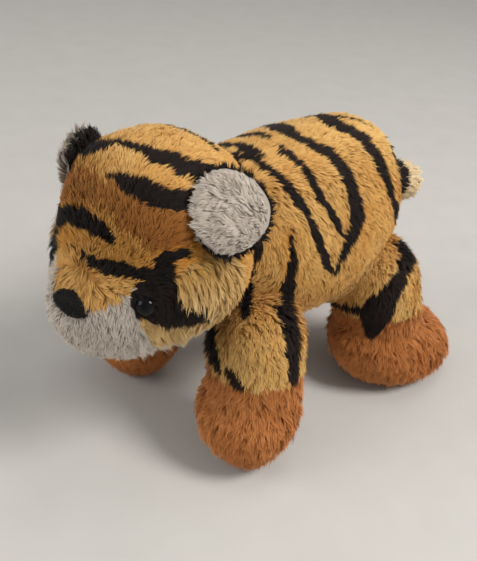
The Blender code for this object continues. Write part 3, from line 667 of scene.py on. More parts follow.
HEAD_LINES = [
    # rear of the crown, from ear to ear
    [(-.262, -.100, .285, .040), (-.190, -.150, .330, .038), (-.117, -.150, .360, .034), (-.094, -.124, .377, .026), (-.015, -.117, .386, .027),
     (.069, -.113, .384, .038), (.127, -.088, .379, .039), (.179, -.066, .362, .040), (.218, -.048, .341, .030)],
    # front of the crown, towards the left ear
    [(-.039, -.244, .309, .010), (-.006, -.244, .310, .024), (.051, -.240, .311, .032), (.103, -.232, .309, .038), (.149, -.220, .304, .042),
     (.192, -.203, .294, .046), (.226, -.174, .290, .046), (.258, -.130, .282, .044), (.280, -.080, .266, .036)],
    # the left ear's front upper edge
    [(.189, -.095, .352, .026), (.190, -.062, .357, .030), (.198, -.022, .356, .028), (.215, .026, .345, .022), (.230, .074, .329, .012)],
    # forehead, towards the right eye
    [(-.345, -.160, .040, .034), (-.300, -.240, .055, .038), (-.223, -.282, .080, .040), (-.128, -.308, .140, .040), (-.049, -.320, .149, .041),
     (.015, -.321, .149, .037), (.076, -.320, .136, .028), (.116, -.315, .130, .008)],
    # bridge of the snout, towards the left eye
    [(-.108, -.330, .042, .014), (-.068, -.340, .036, .022), (-.022, -.346, .030, .028), (.040, -.344, .030, .031), (.093, -.335, .034, .031), (.140, -.322, .042, .029),
     (.186, -.307, .041, .024), (.226, -.288, .043, .029), (.254, -.269, .048, .033)],
    # the brow over the left eye and the dark patch round the eye
    [(.334, -.132, .122, .012), (.310, -.181, .118, .025), (.286, -.218, .115, .027), (.262, -.251, .096, .032), (.272, -.250, .067, .038),
     (.253, -.277, .020, .042), (.247, -.296, -.033, .062), (.253, -.297, -.057, .067)],
    [(.266, -.251, .076, .028), (.281, -.246, .050, .032), (.288, -.248, .020, .036), (.299, -.247, -.014, .040), (.315, -.238, -.051, .040)],
    # the streak from the eye along the lower cheek
    [(.253, -.297, -.057, .067), (.293, -.265, -.089, .060), (.329, -.218, -.114, .060), (.354, -.151, -.146, .050), (.365, -.095, -.170, .028)],
    # the brow with the eye patch, and the streak, on the far side
    [(-.330, -.140, .118, .006), (-.310, -.181, .118, .018), (-.286, -.218, .115, .022), (-.262, -.251, .096, .032), (-.272, -.250, .067, .038),
     (-.253, -.277, .020, .042), (-.247, -.296, -.033, .062), (-.253, -.297, -.057, .067)],
    [(-.253, -.297, -.057, .067), (-.293, -.265, -.089, .055), (-.329, -.218, -.118, .050), (-.354, -.151, -.153, .037), (-.358, -.085, -.195, .012)],
    # the right temple and the sides of the head behind the ears
    [(-.330, -.080, .000, .010), (-.360, -.020, .040, .026), (-.362, .060, .060, .030), (-.335, .120, .070, .010)],
    [(.335, .150, .110, .010), (.318, .200, .064, .028), (.306, .215, .000, .028), (.312, .190, -.060, .010)],
    [(-.335, .150, .110, .010), (-.318, .200, .064, .028), (-.306, .215, .000, .028), (-.312, .190, -.060, .010)],
    [(-.210, .130, .350, .010), (-.100, .150, .384, .026), (.020, .155, .396, .030), (.120, .145, .382, .024), (.210, .130, .350, .008)],
    [(-.190, .245, .240, .010), (-.060, .275, .262, .026), (.080, .270, .260, .024), (.200, .240, .236, .008)],
    [(-.160, .322, .080, .008), (-.040, .338, .100, .022), (.090, .334, .098, .020), (.180, .312, .078, .006)],
]


def onto_head(line):
    """Brings the points of a marking onto the head's outline."""
    line = np.array(line)
    way = unit(line[:, :3])
    return np.column_stack([way * head_reach(way)[:, None], line[:, 3]])


HEAD_LINES = [onto_head(line) for line in HEAD_LINES]

LEG_LINES = {   # (angle round the leg from its front, towards its outer side, height, half width)
    "front": [[(150, .640, .020), (121, .630, .038), (102, .600, .045), (93, .560, .044), (92, .503, .040), (92, .455, .038), (94, .425, .030), (100, .404, .014)],
              [(-78, .575, .024), (-56, .535, .056), (-40, .503, .060), (-20, .470, .044), (-7, .440, .022)],
              [(1, .462, .012), (11, .446, .024), (20, .428, .026), (28, .410, .012)],
              [(200, .52, .010), (186, .46, .032), (180, .42, .012)]],
    "rear": [[(190, .640, .020), (150, .640, .046), (105, .645, .046), (77, .622, .040), (63, .588, .040), (52, .535, .053), (42, .473, .073), (33, .412, .066),
              (29, .350, .040), (28, .306, .012)],
             [(-60, .372, .010), (-44, .384, .014), (-20, .411, .018), (0, .430, .020), (16, .446, .020), (28, .470, .024)],
             [(150, .560, .010), (148, .490, .034), (140, .430, .030), (136, .396, .008)],
             [(205, .540, .008), (208, .470, .028), (200, .410, .010)]],
}


# the bar that crosses from the torso's side onto each front leg, in W: place, half width
SHOULDER_BAR = [(.355, -.332, .854, .010), (.365, -.325, .790, .017), (.359, -.328, .721, .026), (.350, -.320, .665, .032),
                (.385, -.365, .650, .038), (.419, -.392, .641, .041), (.472, -.429, .616, .044), (.516, -.450, .559, .044),
                (.532, -.446, .490, .040)]
CHEST_MARK = [(.262, -.462, .745, .012), (.262, -.478, .680, .024), (.303, -.521, .657, .025), (.345, -.556, .645, .014)]


def shoulder_bar(p):
    """Distance to the edge of the bar, or of the mark in front of it, on the point's side; less than 0 within."""
    q = np.column_stack([np.abs(p[:, 0]), p[:, 1:]])
    return np.minimum(along_line(q, SHOULDER_BAR), along_line(q, CHEST_MARK))


def jag(p, seed, amount=0.54):
    """Ragged edge of a marking."""
    return amount * MM * (noise(p, 1.1 * MM, seed) + 0.8 * noise(p, 3.5 * MM, seed + 1))


# ---------------------------------------------------------------------- torso
def torso_map(p):
    return np.stack([p[:, 1], torso_turn(p) * ARC], -1)


ys = T_MID - T_HALF * np.cos(np.pi * np.linspace(0.03, 0.97, 150))
rings = [(np.array([0, y, torso_ring(y)[2]]), float(torso_ring(y)[0]), float(torso_ring(y)[1])) for y in ys]
v, f = tube(rings, 168, np.array([1.0, 0, 0]), np.array([0, 0, 1.0]))
torso = Form(v, f, np.array([0, 0, TORSO_Z]), lumps=0.62 * MM, grain=0.17, seed=11)
for leg, side in LEGS.values():
    torso.flow(lambda q, leg=leg, side=side: leg_distance(q, leg, side), 0.17)
torso.dent(TORSO_CREASES, 0.9 * MM, 1.4 * MM, torso_map)


def torso_clear(p, depth):
    """Where the torso's cloth isn't buried deeper than depth in the head or a leg."""
    ok = head_distance(head_local(p)) > -depth
    for leg, side in LEGS.values():
        ok &= leg_distance(p, leg, side) > -depth * 0.8
    return ok


def torso_kind(p):
    q = torso_map(p)
    stripe = np.minimum(nearest(q, TORSO_LINES), shoulder_bar(p)) + jag(p, 31)
    below = np.abs(torso_turn(p)) > 180 - 36
    kind = np.where(below, BELLY, GOLD)
    return np.where((stripe < 0) & (~below | (stripe < -0.01)), BLACK, kind)


def torso_shade(p):
    # the creases are painted darker: painted shade in the dented folds
    crease = nearest(torso_map(p), TORSO_CREASES)
    return (0.53 + 0.26 * noise(p, 0.15, 41) + 0.09 * noise(p, 0.045, 42) - 0.55 * np.exp(-(np.maximum(crease, 0) / (1.1 * MM)) ** 2)
            # paler towards the top of the back: a painted highlight
            + 0.17 * smooth(0.92, 1.12, p[:, 2])
            # paler where the front leg meets the torso: painted light lifting the shade of that hollow
            + 0.20 * np.exp(-((np.column_stack([np.abs(p[:, 0]), p[:, 1:]]) - [0.34, -0.43, 0.70]) ** 2).sum(1) / 0.07 ** 2))


def torso_comb(p, n):
    down = flat(np.array([[0.0, 0.0, -1.0]]) + 0 * p, n)
    back = flat(np.array([[0.0, 1.0, 0.0]]) + 0 * p, n)
    turn = np.abs(torso_turn(p))
    w = smooth(8, 55, turn)[:, None]
    d = back * (1 - 0.62 * w) + down * w * 1.0
    # the chest's pile lies sideways, towards the front
    chest = (smooth(-0.30, -0.42, p[:, 1]) * smooth(70, 100, turn))[:, None]
    d = d * (1 - chest) + (-back * 0.8 + down * 0.3) * chest
    return d + 0.42 * np.stack([noise(p, 0.10, 51), noise(p, 0.10, 52), noise(p, 0.10, 53)], -1)


def panel_of_torso(p):
    below = np.abs(torso_turn(p)) > 180 - 36
    return np.where(below, 2, np.where(p[:, 0] > 0, 0, 1))


THIN = 1.0


def spread(x):
    return x * math.sqrt(THIN)


pieces = {}
for index, node in enumerate(("body_side_left", "body_side_right", "belly_panel")):
    pile = Pile()
    centre = torso.skin[torso.f].mean(1)
    pile.skin(torso, (panel_of_torso(centre) == index) & torso_clear(centre, 9 * MM), torso_kind, torso_shade)
    p, n = scatter(torso, spread(1.04 * MM), lambda c: (panel_of_torso(c) == index) & torso_clear(c, 2.5 * MM), 100 + index)
    pile.tufts(p, n, torso_comb(p, n), torso_kind, torso_shade(p) + RNG.normal(0, 0.07, len(p)),
               2.1 * MM, (54, 84), 18, 1.05 * MM, 0.22 * MM, 200 + index, gather=0.20, stray=0.07)
    pieces[node] = (pile, "torso")

# ----------------------------------------------------------------------- head
d, f = ball_mesh(6)
v = d * head_reach(d)[:, None]
CHEEK_AT = np.array([0.318, -0.10, -0.070])


def cheek_pad(p):
    """1 on the fluffy cheeks, 0 elsewhere."""
    q = (p * np.sign(p[:, :1]) * [1, 0, 0] + p * [0, 1, 1] - CHEEK_AT) / np.array([0.20, 0.175, 0.165])
    return smooth(1.12, 0.75, np.linalg.norm(q, axis=1)) * smooth(0.5, 1.0, np.abs(p[:, 0]) / 0.24)


head = Form(v, f, np.zeros(3), inset=lambda q: INSET / W + 0.9 * MM * cheek_pad(q), lumps=0.32 * MM, seed=12)
NOSE_POINT = np.array([0.0, -0.4240, -0.118])
NOSE_RADII = np.array([0.086, 0.033, 0.050])
GUSSET_TILT = math.radians(12.6)


def gusset(p):
    height = p[:, 2] * math.cos(GUSSET_TILT) - p[:, 1] * math.sin(GUSSET_TILT)
    return np.minimum(0.115 - np.abs(p[:, 0]), height - 0.018)


def patch(p):
    return 0.262 - np.linalg.norm(p - np.array([0, -0.36, -0.27]), axis=1)


def panel_of_head(p):
    out = np.where(p[:, 0] > 0, 0, 1)
    out = np.where(gusset(p) > 0, 2, out)
    white = patch(p) > 0
    out = np.where(white & (gusset(p) <= 0), np.where(p[:, 2] < -0.300, 5, np.where(p[:, 0] > 0, 3, 4)), out)
    return out


def brown_and_shaded_face(p):
    """Where the face is a deeper brown between the brow and the crown, most of all beside the ears: partly the pile's
    own deeper dye, partly painted shade of the ears and the crown.
    """
    across = np.abs(p[:, 0])
    q = (np.column_stack([across, p[:, 1:]]) - [0.262, -0.215, 0.190]) / [0.115, 0.15, 0.085]
    r = (np.column_stack([across, p[:, 1:]]) - [0.130, -0.285, 0.215]) / [0.15, 0.15, 0.065]
    t = (np.column_stack([across - 0.02, p[:, 1:]]) - [0, -0.26, 0.270]) / [0.15, 0.15, 0.055]
    return (0.95 * np.exp(-(q ** 2).sum(1)) + 0.55 * np.exp(-(r ** 2).sum(1)) + 0.76 * np.exp(-(t ** 2).sum(1))) * np.where(p[:, 0] < 0, 0.75, 1.0)


def head_kind(p):
    ragged = jag(p, 61)
    stripe = nearest(p, HEAD_LINES) + ragged
    across = np.abs(p[:, 0])
    # the bridge of the snout stays yellow down to the nose
    edge = np.maximum(-0.115, np.maximum(-0.164 + 0.61 * across, -0.295 + 1.46 * across))
    bridge = (p[:, 2] > edge + 1.2 * ragged) & (across < 0.27)
    kind = np.where(cheek_pad(p) + 4 * ragged > 0.35, CHEEKY, GOLD)
    # AMBER fibres on the face: partly deeper dye, partly painted shade beside the ears and under the crown
    kind = np.where(brown_and_shaded_face(p) > 0.5 + 0.30 * noise(p, 0.0045, 63) + 0.12 * noise(p, 0.05, 64), AMBER, kind)
    low = (p[:, 2] < -0.120) & (p[:, 1] > -0.335) & (p[:, 1] < -0.08)
    kind = np.where(low, CHEEKY, kind)
    snout = (patch(p) + ragged > 0) | ((across < 0.222) & (p[:, 2] > -0.20) & (p[:, 1] < -0.25))
    kind = np.where(snout & ~bridge, WHITE, kind)
    # white tufts behind the lower cheek and all of the underside
    kind = np.where((p[:, 2] < -0.235 + ragged) & (p[:, 1] < -0.03), WHITE, kind)
    kind = np.where((p[:, 2] < -0.27 + ragged * 2), WHITE, kind)
    return np.where(stripe < 0, BLACK, kind)


def head_shade(p):
    face = smooth(0.33, 0.18, p[:, 2]) * smooth(0.02, -0.14, p[:, 1]) * smooth(-0.05, 0.05, p[:, 2])
    temple = np.exp(-((np.abs(p[:, 0]) - 0.27) / 0.08) ** 2 - ((p[:, 2] - 0.12) / 0.09) ** 2) * smooth(0.05, -0.1, p[:, 1])
    # the front of the face is darker, partly its deeper dye and partly painted shade; the temples are darker too
    return (0.50 + 0.20 * noise(p, 0.15, 71) + 0.08 * noise(p, 0.045, 72) - 0.34 * face - 0.14 * temple
            # paler towards the top of the crown: a painted highlight
            + 0.17 * smooth(0.26, 0.37, p[:, 2]))


def head_comb(p, n):
    away = flat(p - np.array([0.0, -0.44, -0.10]), n)
    down = flat(np.array([[0.0, 0.0, -1.0]]) + 0 * p, n)
    front = flat(np.array([[0.0, -1.0, 0.0]]) + 0 * p, n)
    pad = cheek_pad(p)[:, None]
    muzzle = smooth(-0.02, 0.03, patch(p))[:, None]
    low = smooth(0.02, -0.12, p[:, 2])[:, None]
    d = away * (1 - 0.55 * low) + down * 0.7 * low
    d = d * (1 - pad) + (down * 1.0 + front * 0.30) * pad
    d = d * (1 - 0.6 * muzzle) + down * 0.7 * muzzle
    return d + 0.42 * np.stack([noise(p, 0.09, 81), noise(p, 0.09, 82), noise(p, 0.09, 83)], -1)


def head_clear(p, depth):
    w = head_world(p)
    return torso_distance(w) > -depth


EYE_SPOT = {}
for name, side in (("left", 1), ("right", -1)):
    e = unit(np.array([[0.236 * side, -0.300, -0.078]]))
    at = e * head_reach(e)[:, None]
    h = 0.002
    grad = np.array([[head_distance(at + np.eye(3)[i] * h)[0] - head_distance(at - np.eye(3)[i] * h)[0] for i in range(3)]])
    EYE_SPOT[name] = (at[0], e[0])


def off_trim(p, grow=0.0):
    """Away from the eyes and the nose, where no tuft starts."""
    ok = np.ones(len(p), bool)
    for at, _ in EYE_SPOT.values():
        ok &= np.linalg.norm(p - at, axis=1) > (0.0016 if at[0] > 0 else 0.0009) / W + grow
    q = (p - NOSE_POINT) / NOSE_RADII
    return ok & ((q[:, 0] ** 2 + q[:, 2] ** 2 > 0.92) | (p[:, 1] > -0.3))


HEAD_NODES = ("head_side_left", "head_side_right", "head_gusset", "muzzle_left", "muzzle_right", "chin_panel")
for index, node in enumerate(HEAD_NODES):
    pile = Pile()
    centre = head.skin[head.f].mean(1)
    pile.skin(head, (panel_of_head(centre) == index) & head_clear(centre, 8 * MM), head_kind, head_shade)
    p, n = scatter(head, spread(1.00 * MM), lambda c: (panel_of_head(c) == index) & head_clear(c, 3.0 * MM) & off_trim(c), 300 + index)
    if len(p):
        pad = cheek_pad(p)
        shade = head_shade(p) + RNG.normal(0, 0.07, len(p))
        comb = head_comb(p, n)
        kinds = head_kind(p)
        near_eye = np.minimum(*[np.linalg.norm(p - at, axis=1) for at, _ in EYE_SPOT.values()])
        # the white and yellow tufts under the face stand out more than the rest
        skirt = np.maximum(smooth(-0.10, -0.20, p[:, 2]) * smooth(-0.33, -0.26, p[:, 1]) * smooth(0.10, 0.0, p[:, 1]), 0)
        fluffy = (np.maximum(pad, skirt) > 0.30) & (kinds != BLACK)
        snow = (kinds == WHITE) & ~fluffy
        q = ~fluffy & ~snow
        size = 2.1 - 0.3 * smooth(0.10, 0.05, near_eye) * (p[:, 0] > 0) - 0.25 * smooth(0.24, 0.34, p[:, 2])
        bridge = np.exp(-(p[:, 0] / 0.13) ** 2 - ((p[:, 2] + 0.045) / 0.055) ** 2) * (p[:, 1] < -0.25)
        size = size + 1.1 * bridge
        pile.tufts(p[q], n[q], comb[q], head_kind, shade[q], size[q] * MM, (54, 84), 18, 1.02 * MM, 0.22 * MM, 400 + index, curl=0.24,
                   gather=0.20, stray=0.07)
        if snow.any():
            pile.tufts(p[snow], n[snow], comb[snow], head_kind, shade[snow], 2.0 * MM, (48, 80), 18, 1.05 * MM, 0.23 * MM, 430 + index, curl=0.30,
                       gather=0.25, soft=0.92)
        if fluffy.any():
            pick = fluffy
            tall = 2.7 + 1.5 * np.maximum(pad, 0.6 * skirt)
            # shorter behind the lower cheek
            tall = tall * (1 - 0.42 * smooth(-0.20, -0.08, p[:, 1]) * smooth(-0.02, -0.12, p[:, 2]))
            turn = 0.75 * np.sign(noise(p[pick], 0.16, 85) + 0.25) * (1 if index != 1 else -1)
            pile.tufts(p[pick], n[pick], comb[pick], head_kind, shade[pick], tall[pick] * MM,
                       (46, 76), 17, 0.95 * MM, 0.26 * MM, 450 + index, curl=0.16, gather=0.50, steps=3, hook=turn)
    pieces[node] = (pile, "head")

# ----------------------------------------------------------------------- legs
leg_forms = {}
for pair in ("front", "rear"):
    for hand in ("left", "right"):
        key = f"{pair}_{hand}"
        leg, side = LEGS[key]
        rows = leg_rings(leg)
        v, f = tube([(np.array([x * side, y, z]), a, b) for z, x, y, a, b in rows], 88, np.array([1.0, 0, 0]), np.array([0, 1.0, 0]))

        def thin(q):
            return (INSET / W) * (0.25 + 0.75 * smooth(0.0, 0.05, q[:, 2]))

        form = Form(v, f, np.array([rows[len(rows) // 2][1] * side, rows[len(rows) // 2][2], rows[len(rows) // 2][0]]), inset=thin,
                    lumps=0.45 * MM, seed=13 + side + 2 * (pair == "rear"))
        form.flow(torso_distance, 0.17)
        table = LEG_TABLE[id(leg)]
        if pair == "front":
            # the sleeve's inner front is fuller, where the stuffing is pushed forward
            x, y, a, b = [np.interp(form.v[:, 2], table[:, 0], table[:, i]) for i in (1, 2, 3, 4)]
            turn = np.degrees(np.arctan2((form.v[:, 0] * side - x) / a, -(form.v[:, 1] - y) / b))
            form.skin = form.skin + form.n * (2.0 * MM * np.exp(-((turn + 56) / 36) ** 2 - ((form.v[:, 2] - 0.51) / 0.10) ** 2))[:, None]
        line = leg["paw"]
        # the seam between sleeve and paw draws the cloth in
        seam = np.exp(-((form.v[:, 2] - line) / (0.9 * MM)) ** 2)
        form.skin = form.skin - form.n * (0.45 * MM * seam)[:, None]
        form.skin[:, 2] = np.maximum(form.skin[:, 2], 0.25 * MM)

        def around(p, table=table, side=side):
            x, y, a, b = [np.interp(p[:, 2], table[:, 0], table[:, i]) for i in (1, 2, 3, 4)]
            return np.degrees(np.arctan2((p[:, 0] * side - x) / a, -(p[:, 1] - y) / b))

        def leg_map(p, around=around):
            ang = around(p)
            return np.stack([np.where(ang < -110, ang + 360, ang) * math.pi / 180 * 0.20, p[:, 2]], -1)

        lines = [[(a * math.pi / 180 * 0.20, z + (0.02 if side < 0 else 0), h) for a, z, h in row] for row in LEG_LINES[pair]]

        def kind_at(p, lines=lines, leg_map=leg_map, line=line, front=pair == "front"):
            stripe = nearest(leg_map(p), lines)
            if front:
                stripe = np.minimum(stripe, shoulder_bar(p))
            stripe = stripe + jag(p, 91)
            paw = p[:, 2] + jag(p, 92) < line
            return np.where(stripe < 0, BLACK, np.where(paw, RUST, GOLD))

        def shade_at(p, line=line):
            return (np.where(p[:, 2] < line, 0.50, 0.66) + 0.25 * noise(p, 0.12, 95) + 0.09 * noise(p, 0.045, 96) + 0.16 * smooth(0.16, 0.34, p[:, 2]) * (p[:, 2] < line)
                    - 0.30 * np.exp(-((p[:, 2] - line) / (0.8 * MM)) ** 2) - 0.22 * smooth(0.08, 0.0, p[:, 2]))

        def comb_at(p, n, side=side, leg=leg):
            sole = smooth(0.03, 0.0, p[:, 2])[:, None]
            out = p - np.array([[leg["foot"][0] * side, leg["foot"][1], 0.0]])
            out[:, 2] = 0
            top = smooth(0.40, 0.60, p[:, 2])[:, None]
            down = np.array([[0.0, 0.0, -1.0]]) + np.array([[0.85 * side, -0.25, 0.0]]) * top
            d = flat(down, n) * (1 - sole) + unit(out) * sole
            return d + 0.45 * np.stack([noise(p, 0.08, 97), noise(p, 0.08, 99), 0.3 * noise(p, 0.05, 98)], -1)

        def buried(p, depth):
            return torso_distance(p) > -depth

        for node, lower in ((f"leg_sleeve_{key}", False), (f"paw_cover_{key}", True)):
            pile = Pile()
            centre = form.skin[form.f].mean(1)
            mine = (centre[:, 2] < line) == lower
            pile.skin(form, mine & buried(centre, 6 * MM), kind_at, shade_at)
            p, n = scatter(form, spread(1.02 * MM), lambda c, lower=lower: ((c[:, 2] < line) == lower) & buried(c, 1.5 * MM) & (c[:, 2] > 0.3 * MM),
                           500 + len(pieces))
            long = (2.6 if lower else 2.4) * (0.30 + 0.70 * smooth(0.0, 0.06, p[:, 2]))
            ridge = np.sin(p[:, 2] / (2.5 * MM) * 2 * np.pi + 3.5 * noise(p, 0.10, 98))
            lift = -0.16 * ridge if lower else 0.0
            # on the paw the ridges' crests get paler fibres: a painted highlight along the ridges
            shade = shade_at(p) + RNG.normal(0, 0.07, len(p)) + (0.14 * ridge if lower else 0)
            pile.tufts(p, n, comb_at(p, n), kind_at, shade, long * MM, (53, 82), 18, 1.02 * MM, 0.22 * MM, 600 + len(pieces),
                       floor=0.12 * MM, curl=0.26, lift=lift, gather=0.22, stray=0.07)
            pieces[node] = (pile, f"leg_{key}")
        leg_forms[key] = form

# ----------------------------------------------------------------------- tail
axis = TAIL_TIP - TAIL_ROOT
length = np.linalg.norm(axis)
axis = axis / length
side_v = unit(np.cross(axis, np.array([0, 0, 1.0])))
up_v = np.cross(side_v, axis)
rings = []
for s in np.linspace(-0.10, 1.0, 37):
    rings.append((TAIL_ROOT + axis * length * s, TAIL_RADIUS * (1 + 0.02 * math.sin(s * 3)), TAIL_RADIUS * (1 + 0.02 * math.sin(s * 3))))
for u in np.linspace(0.1, 1.45, 9):
    rings.append((TAIL_TIP + axis * TAIL_RADIUS * math.sin(u), TAIL_RADIUS * math.cos(u), TAIL_RADIUS * math.cos(u)))
v, f = tube(rings, 48, side_v, up_v)
tail = Form(v, f, TAIL_ROOT + axis * length / 2, inset=0.8 * INSET / W, lumps=0.2 * MM, seed=19)


def tail_along(p):
    return (p - TAIL_ROOT) @ axis / length


def tail_kind(p):
    s = tail_along(p) + jag(p, 111) * 3
    return np.where((s > 0.46) & (s < 0.80), BLACK, np.where(s > 0.6, PALE, GOLD))


def tail_shade(p):
    return 0.55 + 0.2 * noise(p, 0.08, 112)


pile = Pile()
centre = tail.skin[tail.f].mean(1)
pile.skin(tail, tail_along(centre) > -0.2, tail_kind, tail_shade)
p, n = scatter(tail, spread(0.98 * MM), lambda c: (torso_distance(c) > -1.5 * MM), 700)
pile.tufts(p, n, np.array([axis]) + 0 * p + 0.3 * np.stack([noise(p, 0.08, 113), noise(p, 0.08, 114), noise(p, 0.08, 115)], -1), tail_kind,
           tail_shade(p), 2.5 * MM, (42, 68), 16, 0.9 * MM, 0.26 * MM, 701)
pieces["tail_sleeve"] = (pile, "tail")

# ----------------------------------------------------------------------- ears
EARS = {"left": (1, np.array([0.345, -0.014, 0.228]), np.array([0.78, -0.34, 0.52])),
        "right": (-1, np.array([-0.352, -0.030, 0.215]), np.array([-0.87, -0.40, 0.0]))}
EAR_RADIUS, EAR_THICK = 0.145, 0.045
for hand, (s, c, facing) in EARS.items():
    facing = unit(facing)
    outward_v = unit(c)
    down = -unit(outward_v - facing * (outward_v @ facing))
    c = c + np.array([-0.010, -0.008, 0.0] if s > 0 else [0.0, 0.0, -0.034])
    low_top = 1.0 if s > 0 else 0.76           # the right ear's top is folded in a little
    across = unit(np.cross(down, facing))
    basis = np.stack([across, down, facing], 1)       # across, down and forward of the ear as columns
    for layer, sign in (("front", 1), ("back", -1)):
        d, f = ball_mesh(5)
        q = d.copy()
        thick = EAR_THICK * (1.05 if sign > 0 else 0.70)
        z = np.where(q[:, 2] * sign > 0, q[:, 2] * thick, 0.0)
        lumpy = 1 + 0.04 * np.sin(3 * np.arctan2(q[:, 1], q[:, 0]) + s) - 0.05 * q[:, 1]
        rad = EAR_RADIUS * (0.99 if sign > 0 else 0.97) * lumpy
        v = np.stack([q[:, 0] * rad, q[:, 1] * rad * np.where(q[:, 1] < 0, low_top, 1.0), z + 0.0015 * sign], -1)
        v = v @ basis.T + c
        form = Form(v, f, c + facing * 0.01 * sign, inset=0.2 * MM, lumps=0.2 * MM, seed=23 + sign)
        white = sign > 0

        def kind(p, white=white):
            return np.full(len(p), WHITE if white else BLACK)

        def shade(p):
            return 0.50 + 0.24 * noise(p, 0.05, 131) + 0.12 * noise(p, 0.02, 132)

        pile = Pile()
        pile.skin(form, np.ones(len(form.f), bool), kind, shade)

        def ear_keep(p, c=c, basis=basis, sign=sign, s=s):
            q = (p - c) @ basis
            away = np.hypot(q[:, 0], q[:, 1]) / EAR_RADIUS
            # on the left ear black wraps round the rim, on the right ear white stands out past it
            grows = ((q[:, 2] > (0.002 if s > 0 else 0.012)) & (away < (0.88 if s > 0 else 2)) if sign > 0
                     else (q[:, 2] < -0.002) | (away > (0.85 if s > 0 else 2)))
            return grows & (head_distance(p) > 0.2 * MM)

        p, n = scatter(form, spread(0.94 * MM), ear_keep, 800 + 10 * s + sign)
        q = (p - c) @ basis
        ang = np.arctan2(q[:, 1], q[:, 0])
        rr = np.hypot(q[:, 0], q[:, 1]) / EAR_RADIUS
        radial = (np.stack([q[:, 0], q[:, 1], 0 * ang], -1)) @ basis.T
        swirl = np.cross(facing, radial)
        fan = (np.array([0, -1.0, 0]) @ basis.T)[None] * 0.6 * EAR_RADIUS
        if white:
            near = 1.0 if s > 0 else 0.0
            comb = ((across * 0.6 + down * 0.8) * near * EAR_RADIUS + radial * (0.45 + 0.5 * (1 - near)) + fan * (1.1 - rr)[:, None] * (1 - near)
                    + swirl * (0.8 * noise(p, 0.07, 133) + 0.3 * near)[:, None] + facing * 0.9 * EAR_RADIUS * (1 - near))
            turn = 0.9 * np.sign(noise(p, 0.055, 134) + 0.1)
            size = (2.6 - 0.9 * smooth(0.5, 0.9, rr)) * near + (2.9 - 0.9 * smooth(0.5, 1.0, rr) * (q[:, 1] < 0)) * (1 - near)
            lean = (60, 86) if near else (28, 66)
            pile.tufts(p, n, comb, kind, shade(p) - 0.10 * (rr > 0.9), size * MM, lean, 22, 0.95 * MM, 0.20 * MM, 900 + s, gather=0.32,
                       curl=0.26, steps=3, hook=0.8 * turn, stray=0.04, soft=0.93)
        else:
            comb = radial + swirl * 0.2 + facing * 0.25 * EAR_RADIUS
            size = 2.0 + 0.2 * (rr > 0.8) * (s > 0)
            pile.tufts(p, n, comb, kind, shade(p) - 0.2, size * MM, (48, 76), 18, 0.9 * MM, 0.26 * MM, 910 + s, curl=0.3)
        pieces[f"ear_{layer}_{hand}"] = (pile, f"ear_{hand}")

# --------------------------------------------------------- build the pile pieces
on_head = set(HEAD_NODES) | {n for n in pieces if n.startswith("ear_")}
for node, (pile, body) in pieces.items():
    obj = pile.make("pile_" + node, PILE_MAT, head_world if node in on_head else None)
    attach(obj, body)
    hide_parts(node)


# ------------------------------------------------------------------- stuffing
def fibre_mass(name, node, v, f, body, depth, seed, floor=None):
    """A lumpy mass of fibre that fills a skin."""
    n = normals(v, f)
    wool = 0.9 * MM * (noise(v, 0.07, seed) + 0.6 * noise(v, 0.03, seed + 1))
    v = v - n * (depth - np.clip(wool, -1.5 * MM, 0.6 * MM))[:, None]
    if floor is not None:
        v[:, 2] = np.maximum(v[:, 2], floor)
    mesh = bpy.data.meshes.new(name)
    mesh.from_pydata((v * W + np.array([0, SHIFT, 0])).tolist(), [], f.tolist())
    mesh.shade_smooth()
    mesh.materials.append(FIBRE_MAT)
    obj = bpy.data.objects.new(name, mesh)
    bpy.context.scene.collection.objects.link(obj)
    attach(obj, body)
    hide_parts(node)
    return obj


def carve(v, f, middle, inside):
    """Draws the points that lie in a neighbour towards the middle of the mass until they are clear of it."""
    v = v.copy()
    m = middle(v)
    way = v - m
    share = np.ones(len(v))
    for step in np.linspace(0.98, 0.30, 35):
        bad = inside(m + way * share[:, None])
        share[bad] = step
    return m + way * share[:, None], f


ys = T_MID - T_HALF * np.cos(np.pi * np.linspace(0.04, 0.96, 60))
v, f = tube([(np.array([0, y, torso_ring(y)[2]]), float(torso_ring(y)[0]), float(torso_ring(y)[1])) for y in ys], 72,
            np.array([1.0, 0, 0]), np.array([0, 0, 1.0]))
f = outward(v, f, np.array([0, 0, TORSO_Z]))


def neighbours(p):
    hit = np.linalg.norm((p - HEAD_CENTRE) / 0.43, axis=1) < 1
    for leg in (FRONT, REAR):
        for s in (1, -1):
            r = np.array([leg["ball"][0], leg["ball"][1], leg["ball"][1]]) + 0.03
            hit |= np.linalg.norm((p - leg["pivot"] * [s, 1, 1]) / r, axis=1) < 1
    return hit


n = normals(v, f)
v = v - n * 3.4 * MM
v, f = carve(v, f, lambda p: np.stack([0 * p[:, 0], np.clip(p[:, 1], -0.10, 0.50) * 0.8 + 0.03, 0 * p[:, 0] + 0.80], -1), neighbours)
fibre_mass("fibre_body", "body_stuffing", v, f, "torso", 0.5 * MM, 201)
d, f = ball_mesh(4)
v = head_world(d * head_reach(d)[:, None])
f = outward(v, f, HEAD_CENTRE)
fibre_mass("fibre_head", "head_stuffing", v, f, "head", 3.6 * MM, 203)
for key, form in leg_forms.items():
    fibre_mass(f"fibre_leg_{key}", f"leg_stuffing_{key}", form.v, form.f, f"leg_{key}", 3.4 * MM, 205, floor=0.9 * MM)
fibre_mass("fibre_tail", "tail_stuffing", tail.v, tail.f, "tail", 3.2 * MM, 207)
d, f = ball_mesh(3)
v = d * [0.085, 0.106, 0.085]
v[:, 1] = np.where(v[:, 1] > 0, v[:, 1] * 1.7, v[:, 1])
v = v + np.array([0.0, -0.610, 0.870])
fibre_mass("fibre_neck", "neck_stuffing", v, outward(v, f, np.array([0.0, -0.610, 0.870])), "neck", 0.3 * MM, 209)


